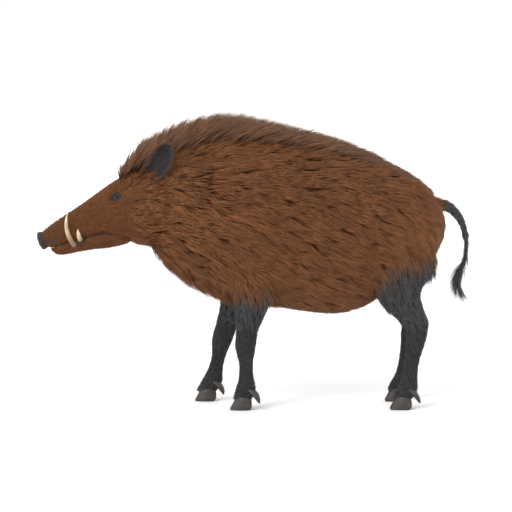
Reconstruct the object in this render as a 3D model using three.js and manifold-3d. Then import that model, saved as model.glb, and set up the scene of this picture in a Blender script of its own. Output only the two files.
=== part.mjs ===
// A wild boar: an adult male in winter coat, standing, with its far foreleg a step ahead.
// Millimetres, +Z up. The boar faces -X, its left side faces -Y, and its hooves stand on Z = 0.
// Lengths along the body are counted from the snout; the last lines move the origin under the middle.
import * as THREE from "three";
import { mergeVertices } from "three/addons/utils/BufferGeometryUtils.js";
import Module from "manifold-3d";

const wasm = await Module();
wasm.setup();

// ---- Driving dimensions ----
const GAP = 0.3; // free space between pieces that touch
const BODY_MIDDLE = 750; // half way from the snout to the tail's tassel
const HEAD_AT = new THREE.Vector3(8, 0, 572); // middle of the snout's face
const HEAD_PITCH = THREE.MathUtils.degToRad(20); // the head slopes down to the snout
const FORE_FOOT = { x: 714, y: 110 };
const HIND_FOOT = { x: 1266, y: 102 };
const FAR_FORE_STEP = 126; // how far the right forefoot stands ahead of the left one
const FAR_HIND_STEP = 8;
const HOOF_HEIGHT = 42;
// The body's locks: rows and roots apart, then each lock's own sizes, with its tip's height last.
const COAT = { rows: 120, apart: 110, length: 178, width: 94, thick: 8, stand: 21 };
const MANE = { apart: 78, width: 58, thick: 14, splay: 20 }; // three files of blades on the back
const RUFF = { apart: 76, length: 100, width: 60, thick: 6, stand: 17 };
const TASSEL = { length: 80, width: 19, thick: 6, stand: 10 };

const COATS = {
  body: new THREE.MeshStandardMaterial({ color: 0x6a462f, roughness: 0.9 }),
  dark: new THREE.MeshStandardMaterial({ color: 0x3f3f3f, roughness: 0.9 }),
  snout: new THREE.MeshStandardMaterial({ color: 0x2f2a28, roughness: 0.55 }),
  hoof: new THREE.MeshStandardMaterial({ color: 0x2a2622, roughness: 0.5 }),
  tusk: new THREE.MeshStandardMaterial({ color: 0xe0d3b4, roughness: 0.35 }),
  eye: new THREE.MeshStandardMaterial({ color: 0x1c120c, roughness: 0.08 }),
};

const UP = new THREE.Vector3(0, 0, 1);
const SIDEWAYS = new THREE.Vector3(0, 1, 0);
const BACKWARD = new THREE.Vector3(1, 0, 0);
const LEFT = -1;
const RIGHT = 1;
const QUARTER = Math.PI / 2;

// ---- Solids ----

// Points and triangles as a closed solid, with its faces turned out where they ran the other way.
function solid(points, triangles) {
  const vertProperties = new Float32Array(points.flatMap((p) => [p.x, p.y, p.z]));
  const bounded = (faces) =>
    new wasm.Manifold(new wasm.Mesh({ numProp: 3, vertProperties, triVerts: new Uint32Array(faces.flat()) }));
  const made = bounded(triangles);
  return made.volume() > 0 ? made : bounded(triangles.map(([a, b, c]) => [a, c, b]));
}

// A closed three.js geometry as a solid, after a matrix has moved it.
function solidFrom(geometry, matrix = new THREE.Matrix4()) {
  const bare = geometry.clone().applyMatrix4(matrix);
  bare.deleteAttribute("normal");
  bare.deleteAttribute("uv");
  const merged = mergeVertices(bare, 1e-3);
  const place = merged.attributes.position;
  const point = (_, i) => new THREE.Vector3().fromBufferAttribute(place, i);
  const points = Array.from({ length: place.count }, point);
  const corners = Array.from(merged.index.array);
  const triangles = [];
  for (let i = 0; i < corners.length; i += 3) triangles.push(corners.slice(i, i + 3));
  return solid(points, triangles);
}

// Rings of equal count joined into a closed skin, with a fan over each end.
function closedTube(rings) {
  const sides = rings[0].length;
  const points = rings.flat();
  const triangles = [];
  for (let i = 0; i + 1 < rings.length; i++)
    for (let j = 0; j < sides; j++) {
      const [a, b] = [i * sides + j, i * sides + ((j + 1) % sides)];
      triangles.push([a, b, a + sides], [b, b + sides, a + sides]);
    }
  for (const [end, order] of [[0, 1], [rings.length - 1, -1]]) {
    const middle = rings[end].reduce((sum, p) => sum.add(p), new THREE.Vector3()).divideScalar(sides);
    const hub = points.push(middle) - 1;
    for (let j = 0; j < sides; j++) {
      const [a, b] = [end * sides + j, end * sides + ((j + 1) % sides)];
      triangles.push(order > 0 ? [hub, b, a] : [hub, a, b]);
    }
  }
  return solid(points, triangles);
}

// The largest closed surface of a solid, with sealed hollows filled and loose scraps dropped.
function largest(shape) {
  return shape.decompose().sort((a, b) => b.volume() - a.volume())[0];
}

// What lies on the side of a plane that its normal points to, half a gap clear of it.
function beyond(shape, plane) {
  return shape.trimByPlane(plane.normal.toArray(), GAP / 2 - plane.constant);
}

function shortOf(shape, plane) {
  return beyond(shape, plane.clone().negate());
}

function geometryOf(shape) {
  const mesh = shape.getMesh();
  const place = new Float32Array(mesh.numVert * 3);
  for (let i = 0; i < mesh.numVert; i++)
    place.set(mesh.vertProperties.subarray(i * mesh.numProp, i * mesh.numProp + 3), i * 3);
  const geometry = new THREE.BufferGeometry();
  geometry.setAttribute("position", new THREE.BufferAttribute(place, 3));
  geometry.setIndex(new THREE.BufferAttribute(mesh.triVerts, 1));
  geometry.computeVertexNormals();
  return geometry;
}

// ---- Hides: smooth surfaces of rings along a path ----

// A hide passes through rows of rings. Each ring has a centre x, y, z and reaches side to both sides,
// up and down square to that. A pinch over 1 narrows its upper half like a roof, and a keel
// under 1 squares its lower half.
// On a hide that bends, the rings stand square to the path.
class Hide {
  constructor(rows, { bends = false, swellings = [] } = {}) {
    this.keys = Object.keys(rows[0]);
    this.last = rows.length - 1;
    this.track = new THREE.CubicInterpolant(
      rows.map((_, i) => i),
      rows.flatMap((row) => this.keys.map((key) => row[key])),
      this.keys.length,
    );
    this.bends = bends;
    this.swellings = swellings;
  }

  ring(t) {
    const values = this.track.evaluate(THREE.MathUtils.clamp(t, 0, this.last));
    return Object.fromEntries(this.keys.map((key, i) => [key, values[i]]));
  }

  centre(t) {
    const { x, y, z } = this.ring(t);
    return new THREE.Vector3(x, y, z);
  }

  frame(t) {
    if (!this.bends) return { along: BACKWARD, side: SIDEWAYS, up: UP };
    const near = THREE.MathUtils.clamp(t, 0.01, this.last - 0.01);
    const along = this.centre(near + 0.01).sub(this.centre(near - 0.01)).normalize();
    const side = SIDEWAYS.clone().addScaledVector(along, -along.y).normalize();
    return { along, side, up: along.clone().cross(side) };
  }

  bare(t, angle) {
    const ring = this.ring(t);
    const { side, up } = this.frame(t);
    const [c, s] = [Math.cos(angle), Math.sin(angle)];
    const shape = (s > 0 ? ring.pinch : ring.keel) ?? 1;
    const outward = Math.sign(c) * Math.abs(c) ** shape * ring.side;
    const upward = s > 0 ? s * ring.up : -(Math.abs(s) ** shape) * ring.down;
    const point = this.centre(t).addScaledVector(side, outward).addScaledVector(up, upward);
    for (const { x, z, reach, rise } of this.swellings) {
      const away = ((point.x - x) / reach[0]) ** 2 + ((point.z - z) / reach[1]) ** 2;
      point.y += (rise * Math.exp(-away) * outward) / ring.side;
    }
    return point;
  }

  normal(t, angle) {
    const [a, b] = [Math.max(t - 0.02, 0), Math.min(t + 0.02, this.last)];
    const along = this.bare(b, angle).sub(this.bare(a, angle));
    const around = this.bare(t, angle + 0.02).sub(this.bare(t, angle - 0.02));
    return around.cross(along).normalize();
  }

  at(t, angle, out = 0) {
    return out ? this.bare(t, angle).addScaledVector(this.normal(t, angle), out) : this.bare(t, angle);
  }

  // Where a walk over the hide ends that sets off in a heading for a distance, as [t, angle].
  walk(t, angle, heading, distance) {
    const d = 0.02;
    const along = this.bare(t + d, angle).sub(this.bare(t - d, angle)).divideScalar(2 * d);
    const around = this.bare(t, angle + d).sub(this.bare(t, angle - d)).divideScalar(2 * d);
    const way = heading.clone().projectOnPlane(this.normal(t, angle)).setLength(distance);
    const [aa, ab, bb] = [along.dot(along), along.dot(around), around.dot(around)];
    const [wa, wb] = [way.dot(along), way.dot(around)];
    const size = aa * bb - ab * ab;
    const onward = THREE.MathUtils.clamp(t + (wa * bb - wb * ab) / size, 0.03, this.last - 0.03);
    return [onward, angle + (wb * aa - wa * ab) / size];
  }

  // The t at which the rings pass a place along X.
  tAt(x) {
    let [low, high] = [0, this.last];
    for (let i = 0; i < 24; i++) {
      const middle = (low + high) / 2;
      if (this.ring(middle).x < x) low = middle;
      else high = middle;
    }
    return low;
  }

  rings(steps, sides, out = 0, from = 0, to = this.last) {
    return Array.from({ length: steps + 1 }, (_, i) =>
      Array.from({ length: sides }, (_, j) =>
        this.at(from + ((to - from) * i) / steps, (2 * Math.PI * j) / sides, out),
      ),
    );
  }

  solid(steps, sides, out = 0) {
    return closedTube(this.rings(steps, sides, out));
  }
}

// Rows that give a ring's top, its underside and the level where it is widest.
const upright = ({ x, top, low, wide, level, pinch, keel }) => ({
  x, y: 0, z: level, up: top - level, down: level - low, side: wide, pinch, keel,
});

// ---- Locks ----

THREE.MathUtils.seededRandom(1217);
const draw = (low, high) => low + (high - low) * THREE.MathUtils.seededRandom();

// Rings of three joined into a blade that ends in a point.
function blade(rings, tip) {
  const points = [...rings.flat(), tip];
  const triangles = [[0, 2, 1]];
  for (let i = 0; i + 1 < rings.length; i++)
    for (let j = 0; j < 3; j++) {
      const [a, b] = [3 * i + j, 3 * i + ((j + 1) % 3)];
      triangles.push([a, b, a + 3], [b, b + 3, a + 3]);
    }
  const last = 3 * (rings.length - 1);
  for (let j = 0; j < 3; j++) triangles.push([last + j, last + ((j + 1) % 3), points.length - 1]);
  return solid(points, triangles);
}

// Where a lock's rings stand, in shares of its length, its width, its tip's height and its thickness.
const LOCK_RINGS = [
  { along: 0, wide: 0.35, rise: -0.8, thick: 0.3 },
  { along: 0.22, wide: 1, rise: 0.3, thick: 0.6 },
  { along: 0.66, wide: 0.74, rise: 0.64, thick: 0.7 },
];

// A flat tapered lock of bristles that grows out of a hide at [t, angle]. It follows the lie over
// the hide and stands further off towards its tip, and its edges hug the hide's curve.
function lock(hide, t, angle, lie, { length, width, thick, stand }) {
  let place = [t, angle];
  let covered = 0;
  const step = (along) => {
    const heading = lie(hide.at(...place));
    place = along > covered ? hide.walk(...place, heading, (along - covered) * length) : place;
    covered = along;
    return heading;
  };
  const rings = LOCK_RINGS.map(({ along, wide, rise, thick: crown }) => {
    const across = step(along).cross(hide.normal(...place));
    const edge = (way) => hide.at(...hide.walk(...place, across, (way * wide * width) / 2), rise * stand);
    return [edge(-1), edge(1), hide.at(...place, rise * stand + crown * thick)];
  });
  step(1);
  return blade(rings, hide.at(...place, stand));
}

// Angles spread evenly over a ring of a hide, from one angle to another, about a distance apart.
// A shift of a half puts them between those of a row without one.
function spread(hide, t, from, to, apart, shift = 0) {
  const stops = Array.from({ length: 41 }, (_, i) => from + ((to - from) * i) / 40);
  const reach = [0];
  for (let i = 1; i < stops.length; i++)
    reach.push(reach[i - 1] + hide.at(t, stops[i]).distanceTo(hide.at(t, stops[i - 1])));
  const count = Math.max(1, Math.round(reach[40] / apart + 0.5));
  return Array.from({ length: count }, (_, i) => {
    const wanted = ((i + shift) / (count - 0.5)) * reach[40];
    const next = Math.max(1, reach.findIndex((r) => r >= wanted));
    const share = (wanted - reach[next - 1]) / (reach[next] - reach[next - 1]);
    return stops[next - 1] + share * (stops[next] - stops[next - 1]);
  });
}

// Values of t at even distances along the line on a hide that keeps one angle.
function rowsAlong(hide, from, to, angle, apart) {
  const rows = [from];
  let [t, passed] = [from, 0];
  while (t < to) {
    passed += hide.at(t, angle).distanceTo(hide.at(t + 0.02, angle));
    t += 0.02;
    if (passed >= apart) [passed] = [0, rows.push(t)];
  }
  return rows;
}

const varied = ({ length, width, thick, stand }, amount = 0.14) => ({
  length: length * draw(1 - amount, 1 + amount),
  width: width * draw(1 - amount / 2, 1 + amount / 2),
  thick,
  stand: stand * draw(1 - amount, 1 + amount),
});

// ---- Trunk: neck, chest, belly and rump ----

const TRUNK_ROWS = [
  { x: 340, top: 780, low: 640, wide: 44, level: 706, pinch: 1.1, keel: 1 }, // inside the head
  { x: 395, top: 838, low: 560, wide: 84, level: 694, pinch: 1.15, keel: 0.95 }, // nape and throat
  { x: 465, top: 882, low: 490, wide: 112, level: 676, pinch: 1.2, keel: 0.9 },
  { x: 560, top: 914, low: 428, wide: 136, level: 654, pinch: 1.3, keel: 0.82 },
  { x: 665, top: 926, low: 386, wide: 156, level: 628, pinch: 1.35, keel: 0.76 }, // withers and brisket
  { x: 780, top: 918, low: 362, wide: 163, level: 604, pinch: 1.3, keel: 0.76 }, // behind the elbow
  { x: 900, top: 902, low: 344, wide: 170, level: 590, pinch: 1.2, keel: 0.84 }, // last long ribs
  { x: 1020, top: 882, low: 330, wide: 171, level: 584, pinch: 1.15, keel: 0.88 }, // deepest belly
  { x: 1120, top: 858, low: 350, wide: 163, level: 588, pinch: 1.12, keel: 0.84 },
  { x: 1200, top: 832, low: 400, wide: 155, level: 594, pinch: 1.1, keel: 0.76 }, // flank and stifle
  { x: 1280, top: 796, low: 440, wide: 144, level: 602, pinch: 1.08, keel: 0.72 }, // croup
  { x: 1345, top: 752, low: 500, wide: 124, level: 614, pinch: 1.05, keel: 0.8 },
  { x: 1388, top: 706, low: 550, wide: 92, level: 620, pinch: 1, keel: 0.9 }, // rump
  { x: 1411, top: 660, low: 594, wide: 42, level: 624, pinch: 1, keel: 1 },
];

const trunk = new Hide(TRUNK_ROWS.map(upright), {
  swellings: [
    { x: 700, z: 640, reach: [85, 150], rise: 12 }, // shoulder blade
    { x: 755, z: 480, reach: [70, 80], rise: 10 }, // upper arm
    { x: 850, z: 640, reach: [50, 150], rise: -7 }, // hollow behind the shoulder
    { x: 1145, z: 590, reach: [55, 110], rise: -9 }, // hollow of the flank
    { x: 1275, z: 600, reach: [85, 130], rise: 12 }, // haunch
  ],
});

// Bristles lie back along the body and sink as they go, most of all over the haunch.
function trunkLie({ x, z }) {
  const haunch = THREE.MathUtils.smoothstep(x, 1080, 1320);
  const flank = THREE.MathUtils.smoothstep(880 - z, 0, 220);
  return new THREE.Vector3(1, 0, -flank * (0.38 + 0.5 * haunch));
}

// The body's coat in staggered rows, each lock's tip over the roots of the next row. The rows are
// spread evenly over the flank and round the rump, and close over the back behind the mane.
function trunkLocks() {
  const locks = [];
  for (const [row, start] of rowsAlong(trunk, trunk.tAt(376), trunk.last - 0.7, 0.35, COAT.rows).entries()) {
    const shift = row % 2 ? 0.5 : 0;
    const { x } = trunk.ring(start);
    const bottom = x > 1330 ? 0 : -QUARTER; // bare between the hams
    const flank = row ? 0.44 * Math.PI : 0.2 * Math.PI; // the first row leaves the ears free
    const top = x > 1180 ? QUARTER : flank;
    for (const angle of spread(trunk, start, bottom, top, COAT.apart, shift)) {
      const middle = Math.abs(angle) > QUARTER - 0.01;
      for (const side of middle ? [RIGHT] : [RIGHT, LEFT]) {
        const turned = angle + (middle ? 0 : draw(-0.025, 0.025));
        const around = side === RIGHT ? turned : Math.PI - turned;
        const shape = varied(COAT);
        shape.length *= THREE.MathUtils.mapLinear(Math.min(row, 2), 0, 2, 0.68, 1); // short on the throat
        shape.length *= THREE.MathUtils.mapLinear(Math.max(x, 1240), 1240, 1400, 1, 0.6); // and by the tail
        locks.push(lock(trunk, start + draw(-0.12, 0.12), around, trunkLie, shape));
      }
    }
  }
  return locks;
}

// Where the mane grows, how far its tips rise, and how far they lean back. A low ridge of dense
// underfur fills its foot, half way to the tips.
const maneLine = new Hide(
  [
    { x: 292, z: 788, rise: 66, lean: 22 },
    { x: 330, z: 808, rise: 104, lean: 40 },
    { x: 400, z: 838, rise: 116, lean: 62 },
    { x: 480, z: 884, rise: 104, lean: 74 },
    { x: 560, z: 912, rise: 98, lean: 80 },
    { x: 660, z: 924, rise: 92, lean: 84 },
    { x: 800, z: 915, rise: 84, lean: 86 },
    { x: 960, z: 892, rise: 72, lean: 84 },
    { x: 1100, z: 862, rise: 56, lean: 78 },
    { x: 1220, z: 822, rise: 38, lean: 66 },
  ].map((row) => ({ ...row, y: 0, up: row.rise * 0.42, down: 24, side: 15, pinch: 1, keel: 1 })),
);

// A blade of the mane stands on edge along the back and leans over backwards as it rises.
function maneBlade(x, file) {
  const { z, rise, lean } = maneLine.ring(maneLine.tAt(x));
  const height = rise * draw(0.9, 1.06) * (file ? 0.9 : 1);
  const back = lean * draw(0.85, 1.15);
  const bulge = file || (draw(-1, 1) > 0 ? 1 : -1);
  const splay = file * MANE.splay + draw(-3, 3);
  const at = (s) => new THREE.Vector3(x + back * s ** 1.7, splay * (0.6 + 0.8 * s), z + height * s ** 0.92);
  const ring = (s, wide, thick) => {
    const along = at(s + 0.1).sub(at(s)).normalize();
    const across = along.cross(SIDEWAYS).setLength((wide * MANE.width) / 2);
    const crown = new THREE.Vector3(0, bulge * thick * MANE.thick, 0);
    return [at(s).sub(across), at(s).add(across), at(s).add(crown)];
  };
  const foot = ring(0, 0.8, 1).map((p) => p.addScaledVector(UP, -14));
  return blade([foot, ring(0.3, 1, 1), ring(0.68, 0.7, 0.7)], at(1));
}

function maneBlades() {
  const blades = [];
  for (const file of [-1, 0, 1])
    for (let x = 292 + (file ? MANE.apart / 2 : 0); x < 1210; x += MANE.apart)
      blades.push(maneBlade(x + draw(-8, 8), file));
  return blades;
}

// ---- Head, in its own group: +X runs back from the snout along the head, +Z is its top ----

const HEAD_ROWS = [
  { x: 17, top: 31, low: -29, wide: 30, level: 0, pinch: 1, keel: 0.95 },
  { x: 32, top: 36, low: -32, wide: 32, level: -2, pinch: 1, keel: 0.9 },
  { x: 62, top: 45, low: -35, wide: 37, level: -4, pinch: 1, keel: 0.8 },
  { x: 110, top: 57, low: -38, wide: 43, level: -6, pinch: 0.95, keel: 0.75 }, // canines
  { x: 165, top: 70, low: -42, wide: 48, level: -8, pinch: 0.95, keel: 0.75 },
  { x: 222, top: 85, low: -54, wide: 60, level: -8, pinch: 1, keel: 0.8 }, // corner of the mouth
  { x: 275, top: 100, low: -92, wide: 77, level: -10, pinch: 1, keel: 0.85 },
  { x: 325, top: 111, low: -124, wide: 94, level: -16, pinch: 1.05, keel: 0.9 }, // eyes
  { x: 378, top: 117, low: -144, wide: 105, level: -26, pinch: 1.1, keel: 0.9 }, // angle of the jaw
  { x: 430, top: 114, low: -140, wide: 107, level: -28, pinch: 1.1, keel: 0.9 }, // ears
  { x: 474, top: 100, low: -112, wide: 98, level: -24, pinch: 1, keel: 1 },
  { x: 504, top: 68, low: -68, wide: 64, level: -10, pinch: 1, keel: 1 },
];

const headHide = new Hide(HEAD_ROWS.map(upright), {
  swellings: [
    { x: 118, z: -18, reach: [24, 20], rise: 7 }, // lip raised over the canines
    { x: 215, z: 20, reach: [45, 26], rise: -6 }, // hollow before the eye
    { x: 300, z: 92, reach: [34, 20], rise: 6 }, // brow
    { x: 372, z: -62, reach: [55, 60], rise: 8 }, // cheek
  ],
});

const jawHide = new Hide([
  { x: 28, top: -33, low: -44, wide: 15, level: -38, pinch: 1, keel: 1 },
  { x: 40, top: -28, low: -62, wide: 25, level: -42, pinch: 0.8, keel: 0.95 }, // chin
  { x: 70, top: -26, low: -73, wide: 32, level: -44, pinch: 0.7, keel: 0.9 },
  { x: 112, top: -28, low: -79, wide: 38, level: -46, pinch: 0.7, keel: 0.9 },
  { x: 165, top: -32, low: -88, wide: 45, level: -50, pinch: 0.7, keel: 0.9 },
  { x: 222, top: -44, low: -101, wide: 57, level: -58, pinch: 0.8, keel: 0.95 },
  { x: 270, top: -60, low: -106, wide: 62, level: -76, pinch: 1, keel: 1 },
  { x: 300, top: -70, low: -100, wide: 48, level: -86, pinch: 1, keel: 1 },
].map(upright));

// The ruff: locks in rows over the cheek, laid back and down over the throat.
function ruffLocks() {
  const locks = [];
  const lie = () => new THREE.Vector3(1, 0, -0.45);
  for (const [row, x] of [302, 352].entries())
    for (const angle of spread(headHide, headHide.tAt(x), -1.25, 0.25, RUFF.apart, row % 2 ? 0.6 : 0.15))
      for (const side of [RIGHT, LEFT]) {
        const around = side === RIGHT ? angle : Math.PI - angle;
        locks.push(lock(headHide, headHide.tAt(x + draw(-8, 8)), around, lie, varied(RUFF)));
      }
  return locks.map(fromHead);
}

const EYE_RADIUS = 13;
const EYE_AT = { x: 302, rise: THREE.MathUtils.degToRad(37), depth: 7.5 };
const EAR_AT = { x: 436, y: 74, z: 86 };
const EAR_LENGTH = 152;

// Head: snout disc, nostrils ------------------------------------------------

function snoutDisc() {
  const face = [
    [-3, 0.6], [0, 0.92], [5, 1.05], [10, 1.02], [17 - GAP, 0.94],
  ];
  const rings = face.map(([x, share]) =>
    Array.from({ length: 18 }, (_, j) => {
      const angle = (2 * Math.PI * j) / 18;
      const flare = Math.sin(angle) > 0 ? 32 : 30;
      return new THREE.Vector3(x, 34 * share * Math.cos(angle), flare * share * Math.sin(angle));
    }),
  );
  const nostril = (side) =>
    solidFrom(
      new THREE.CylinderGeometry(6.5, 5, 22, 8),
      new THREE.Matrix4()
        .makeTranslation(-1, side * 13, 1)
        .multiply(new THREE.Matrix4().makeRotationX(side * 0.35))
        .multiply(new THREE.Matrix4().makeScale(1, 0.85, 1.35))
        .multiply(new THREE.Matrix4().makeRotationZ(QUARTER)),
    );
  return closedTube(rings).subtract(nostril(LEFT)).subtract(nostril(RIGHT));
}

// Head: eyes and lids ---------------------------------------------------------

const eyeRow = headHide.tAt(EYE_AT.x);
const eyeAngle = (side) => (side === RIGHT ? EYE_AT.rise : Math.PI - EYE_AT.rise);

// A frame on the head at the eye: x runs back along the lids, z looks out.
function eyeFrame(side) {
  const out = headHide.normal(eyeRow, eyeAngle(side));
  const along = BACKWARD.clone().applyAxisAngle(SIDEWAYS, 0.2).projectOnPlane(out).normalize();
  const place = headHide.at(eyeRow, eyeAngle(side), -EYE_AT.depth);
  return new THREE.Matrix4().makeBasis(along, out.clone().cross(along), out).setPosition(place);
}

function eyeball(side, grow = 0) {
  const ball = new THREE.SphereGeometry(EYE_RADIUS + grow, 12, 7);
  return solidFrom(ball, eyeFrame(side));
}

function lids(side) {
  const ring = new THREE.TorusGeometry(13.5, 4.6, 5, 12);
  const almond = new THREE.Matrix4().makeScale(1.1, 0.72, 0.9).setPosition(0, 0, EYE_AT.depth - 1.5);
  return solidFrom(ring, eyeFrame(side).multiply(almond));
}

function lidSlit(side) {
  const slit = new THREE.SphereGeometry(1, 12, 6);
  const almond = new THREE.Matrix4().makeScale(12, 7, 14).setPosition(0, 0, EYE_AT.depth + 2);
  return solidFrom(slit, eyeFrame(side).multiply(almond));
}

// Head: ears -----------------------------------------------------------------

// An ear is a cupped blade: each ring is an arc of its outside and the arc of its inside.
function ear(side, grow = 0) {
  const lean = THREE.MathUtils.degToRad(24);
  const rise = THREE.MathUtils.degToRad(32);
  const length = new THREE.Vector3(Math.cos(rise) * Math.cos(lean), side * Math.sin(lean), Math.sin(rise));
  length.normalize();
  const mouth = new THREE.Vector3(-0.36, side * 0.93, 0.1).projectOnPlane(length).normalize();
  const across = length.clone().cross(mouth);
  const rows = new Hide([
    { x: -34, side: 33, spread: 1.9, thick: 8, bend: 0 },
    { x: 6, side: 37, spread: 1.6, thick: 7, bend: 0 },
    { x: 45, side: 44, spread: 1.15, thick: 6, bend: 3 },
    { x: 90, side: 42, spread: 0.95, thick: 5, bend: 8 },
    { x: 128, side: 28, spread: 0.8, thick: 4.5, bend: 12 },
    { x: EAR_LENGTH, side: 8, spread: 0.7, thick: 3.6, bend: 16 },
  ]);
  const steps = 8;
  const arcs = 6;
  const rings = Array.from({ length: steps + 1 }, (_, i) => {
    const { x, side: half, spread, thick, bend } = rows.ring((rows.last * i) / steps);
    const radius = half / Math.sin(Math.min(spread, QUARTER));
    const arc = (r, angle) =>
      new THREE.Vector3(EAR_AT.x, side * EAR_AT.y, EAR_AT.z)
        .addScaledVector(length, x + Math.sign(x) * grow)
        .addScaledVector(across, r * Math.sin(angle))
        .addScaledVector(mouth, bend + radius - r * Math.cos(angle) - half * 0.9);
    const stops = Array.from({ length: arcs }, (_, j) => (2 * j) / (arcs - 1) - 1);
    const rim = grow / radius;
    return [
      ...stops.map((s) => arc(radius + grow, s * (spread + rim))),
      ...stops.reverse().map((s) => arc(radius - thick - grow, s * (spread - 0.03 + rim))),
    ];
  });
  return closedTube(rings);
}

// Head: tusks ----------------------------------------------------------------

const LOWER_TUSK = [
  { x: 118, y: 30, z: -58, r: 9 },
  { x: 110, y: 48, z: -42, r: 9 },
  { x: 106, y: 60, z: -12, r: 8 },
  { x: 110, y: 64, z: 22, r: 6 },
  { x: 122, y: 60, z: 50, r: 3.4 },
  { x: 130, y: 57, z: 60, r: 1 },
];
const UPPER_TUSK = [
  { x: 140, y: 34, z: -34, r: 8.5 },
  { x: 139, y: 52, z: -38, r: 8.5 },
  { x: 139, y: 63, z: -28, r: 7.5 },
  { x: 142, y: 66, z: -11, r: 5 },
  { x: 146, y: 65, z: -2, r: 2 },
];

function tusk(rows, side) {
  const horn = new Hide(
    rows.map(({ x, y, z, r }) => ({ x, y: side * y, z, up: r, down: r, side: r })),
    { bends: true },
  );
  // A tusk that sets off sideways can't use the sideways axis for its rings.
  horn.frame = function (t) {
    const near = THREE.MathUtils.clamp(t, 0.01, this.last - 0.01);
    const along = this.centre(near + 0.01).sub(this.centre(near - 0.01)).normalize();
    const across = BACKWARD.clone().projectOnPlane(along).normalize();
    return { along, side: across, up: along.clone().cross(across) };
  };
  return horn.solid(7, 7);
}

// ---- Legs ----

const FORE_ROWS = [
  { x: 700, z: 560, up: 92, down: 90, side: 40 }, // upper arm, inside the chest
  { x: 726, z: 480, up: 92, down: 84, side: 44 },
  { x: 742, z: 410, up: 76, down: 70, side: 45 }, // elbow
  { x: 738, z: 345, up: 55, down: 52, side: 40 },
  { x: 730, z: 280, up: 40, down: 42, side: 34 },
  { x: 724, z: 218, up: 37, down: 40, side: 36 }, // knee
  { x: 724, z: 160, up: 29, down: 28, side: 27 },
  { x: 724, z: 112, up: 31, down: 28, side: 28 }, // cannon
  { x: 722, z: 80, up: 39, down: 33, side: 34 }, // fetlock
  { x: FORE_FOOT.x, z: HOOF_HEIGHT, up: 35, down: 36, side: 34 }, // crown of the hooves
  { x: FORE_FOOT.x - 6, z: 20, up: 34, down: 36, side: 33 },
];
const HIND_ROWS = [
  { x: 1285, z: 610, up: 76, down: 96, side: 40 }, // hip, inside the rump
  { x: 1264, z: 530, up: 116, down: 118, side: 50 },
  { x: 1250, z: 460, up: 102, down: 100, side: 52 }, // stifle
  { x: 1258, z: 395, up: 74, down: 76, side: 46 },
  { x: 1284, z: 338, up: 52, down: 50, side: 37 },
  { x: 1308, z: 288, up: 46, down: 40, side: 34 }, // hock
  { x: 1304, z: 232, up: 41, down: 33, side: 30 },
  { x: 1296, z: 168, up: 30, down: 28, side: 26 }, // cannon
  { x: 1288, z: 112, up: 32, down: 29, side: 27 },
  { x: 1282, z: 80, up: 38, down: 33, side: 33 }, // fetlock
  { x: HIND_FOOT.x, z: HOOF_HEIGHT, up: 35, down: 36, side: 34 }, // crown of the hooves
  { x: HIND_FOOT.x - 8, z: 20, up: 34, down: 36, side: 33 },
];

// A leg swings forward from its top ring, so that its foot stands a step ahead.
function legHide(rows, y, step) {
  const height = rows[0].z - HOOF_HEIGHT;
  return new Hide(
    rows.map(({ x, z, up, down, side }) => {
      const swing = (step * (rows[0].z - z)) / height;
      return { x: x - swing, y, z, up, down, side };
    }),
    { bends: true },
  );
}

// Each leg is parted at its knee or hock, and above its fetlock.
const ANKLE = 112;
const FORE = { rows: FORE_ROWS, foot: FORE_FOOT, knee: 228 };
const HIND = { rows: HIND_ROWS, foot: HIND_FOOT, knee: 286 };
const LEGS = [
  { ...FORE, name: "fore_left", side: LEFT, step: 0 },
  { ...FORE, name: "fore_right", side: RIGHT, step: FAR_FORE_STEP },
  { ...HIND, name: "hind_left", side: LEFT, step: 0 },
  { ...HIND, name: "hind_right", side: RIGHT, step: FAR_HIND_STEP },
];

const TOE = 17.5; // from the middle of a foot to the middle of each half hoof

// One half of a cloven hoof, with its toe towards -X and its sole on the floor.
function hoof() {
  const rows = [
    { z: 0, front: -44, back: 28, half: 14 },
    { z: 6, front: -43, back: 29, half: 14.6 },
    { z: 26, front: -32, back: 30, half: 14.4 },
    { z: HOOF_HEIGHT - GAP, front: -24, back: 29, half: 13.4 },
  ];
  const sides = 10;
  return closedTube(
    rows.map(({ z, front, back, half }) =>
      Array.from({ length: sides }, (_, j) => {
        const angle = (2 * Math.PI * j) / sides;
        const reach = (back - front) / 2;
        const point = Math.cos(angle) < 0 ? 0.85 : 1; // the toe is narrower than the heel
        return new THREE.Vector3(
          (front + back) / 2 + reach * Math.cos(angle),
          half * point * Math.sign(Math.sin(angle)) * Math.abs(Math.sin(angle)) ** 0.75,
          z,
        );
      }),
    ),
  );
}

// A dewclaw hangs back and down from behind the fetlock.
function dewclaw(side) {
  const rows = [
    { x: 10, y: 14, z: 74, r: 9 },
    { x: 34, y: 22, z: 62, r: 9.5 },
    { x: 50, y: 27, z: 42, r: 8.5 },
    { x: 56, y: 29, z: 24, r: 4 },
  ];
  return new Hide(
    rows.map(({ x, y, z, r }) => ({ x, y: side * y, z, up: r * 0.8, down: r * 0.8, side: r })),
    { bends: true },
  ).solid(3, 6);
}

// ---- Tail ----

const TAIL_ROWS = [
  { x: 1372, z: 706, r: 21 },
  { x: 1424, z: 694, r: 18 },
  { x: 1464, z: 656, r: 14.5 },
  { x: 1484, z: 604, r: 12.5 },
  { x: 1490, z: 552, r: 12 },
  { x: 1483, z: 506, r: 12 },
  { x: 1464, z: 466, r: 14 },
  { x: 1458, z: 430, r: 14 },
  { x: 1470, z: 398, r: 9 },
  { x: 1484, z: 378, r: 2 },
];
const tailHide = new Hide(
  TAIL_ROWS.map(({ x, z, r }) => ({ x, y: 0, z, up: r, down: r, side: r * 0.9 })),
  { bends: true },
);
const TAIL_CUTS = [2, 5]; // where the tail is parted, in rows

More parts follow.
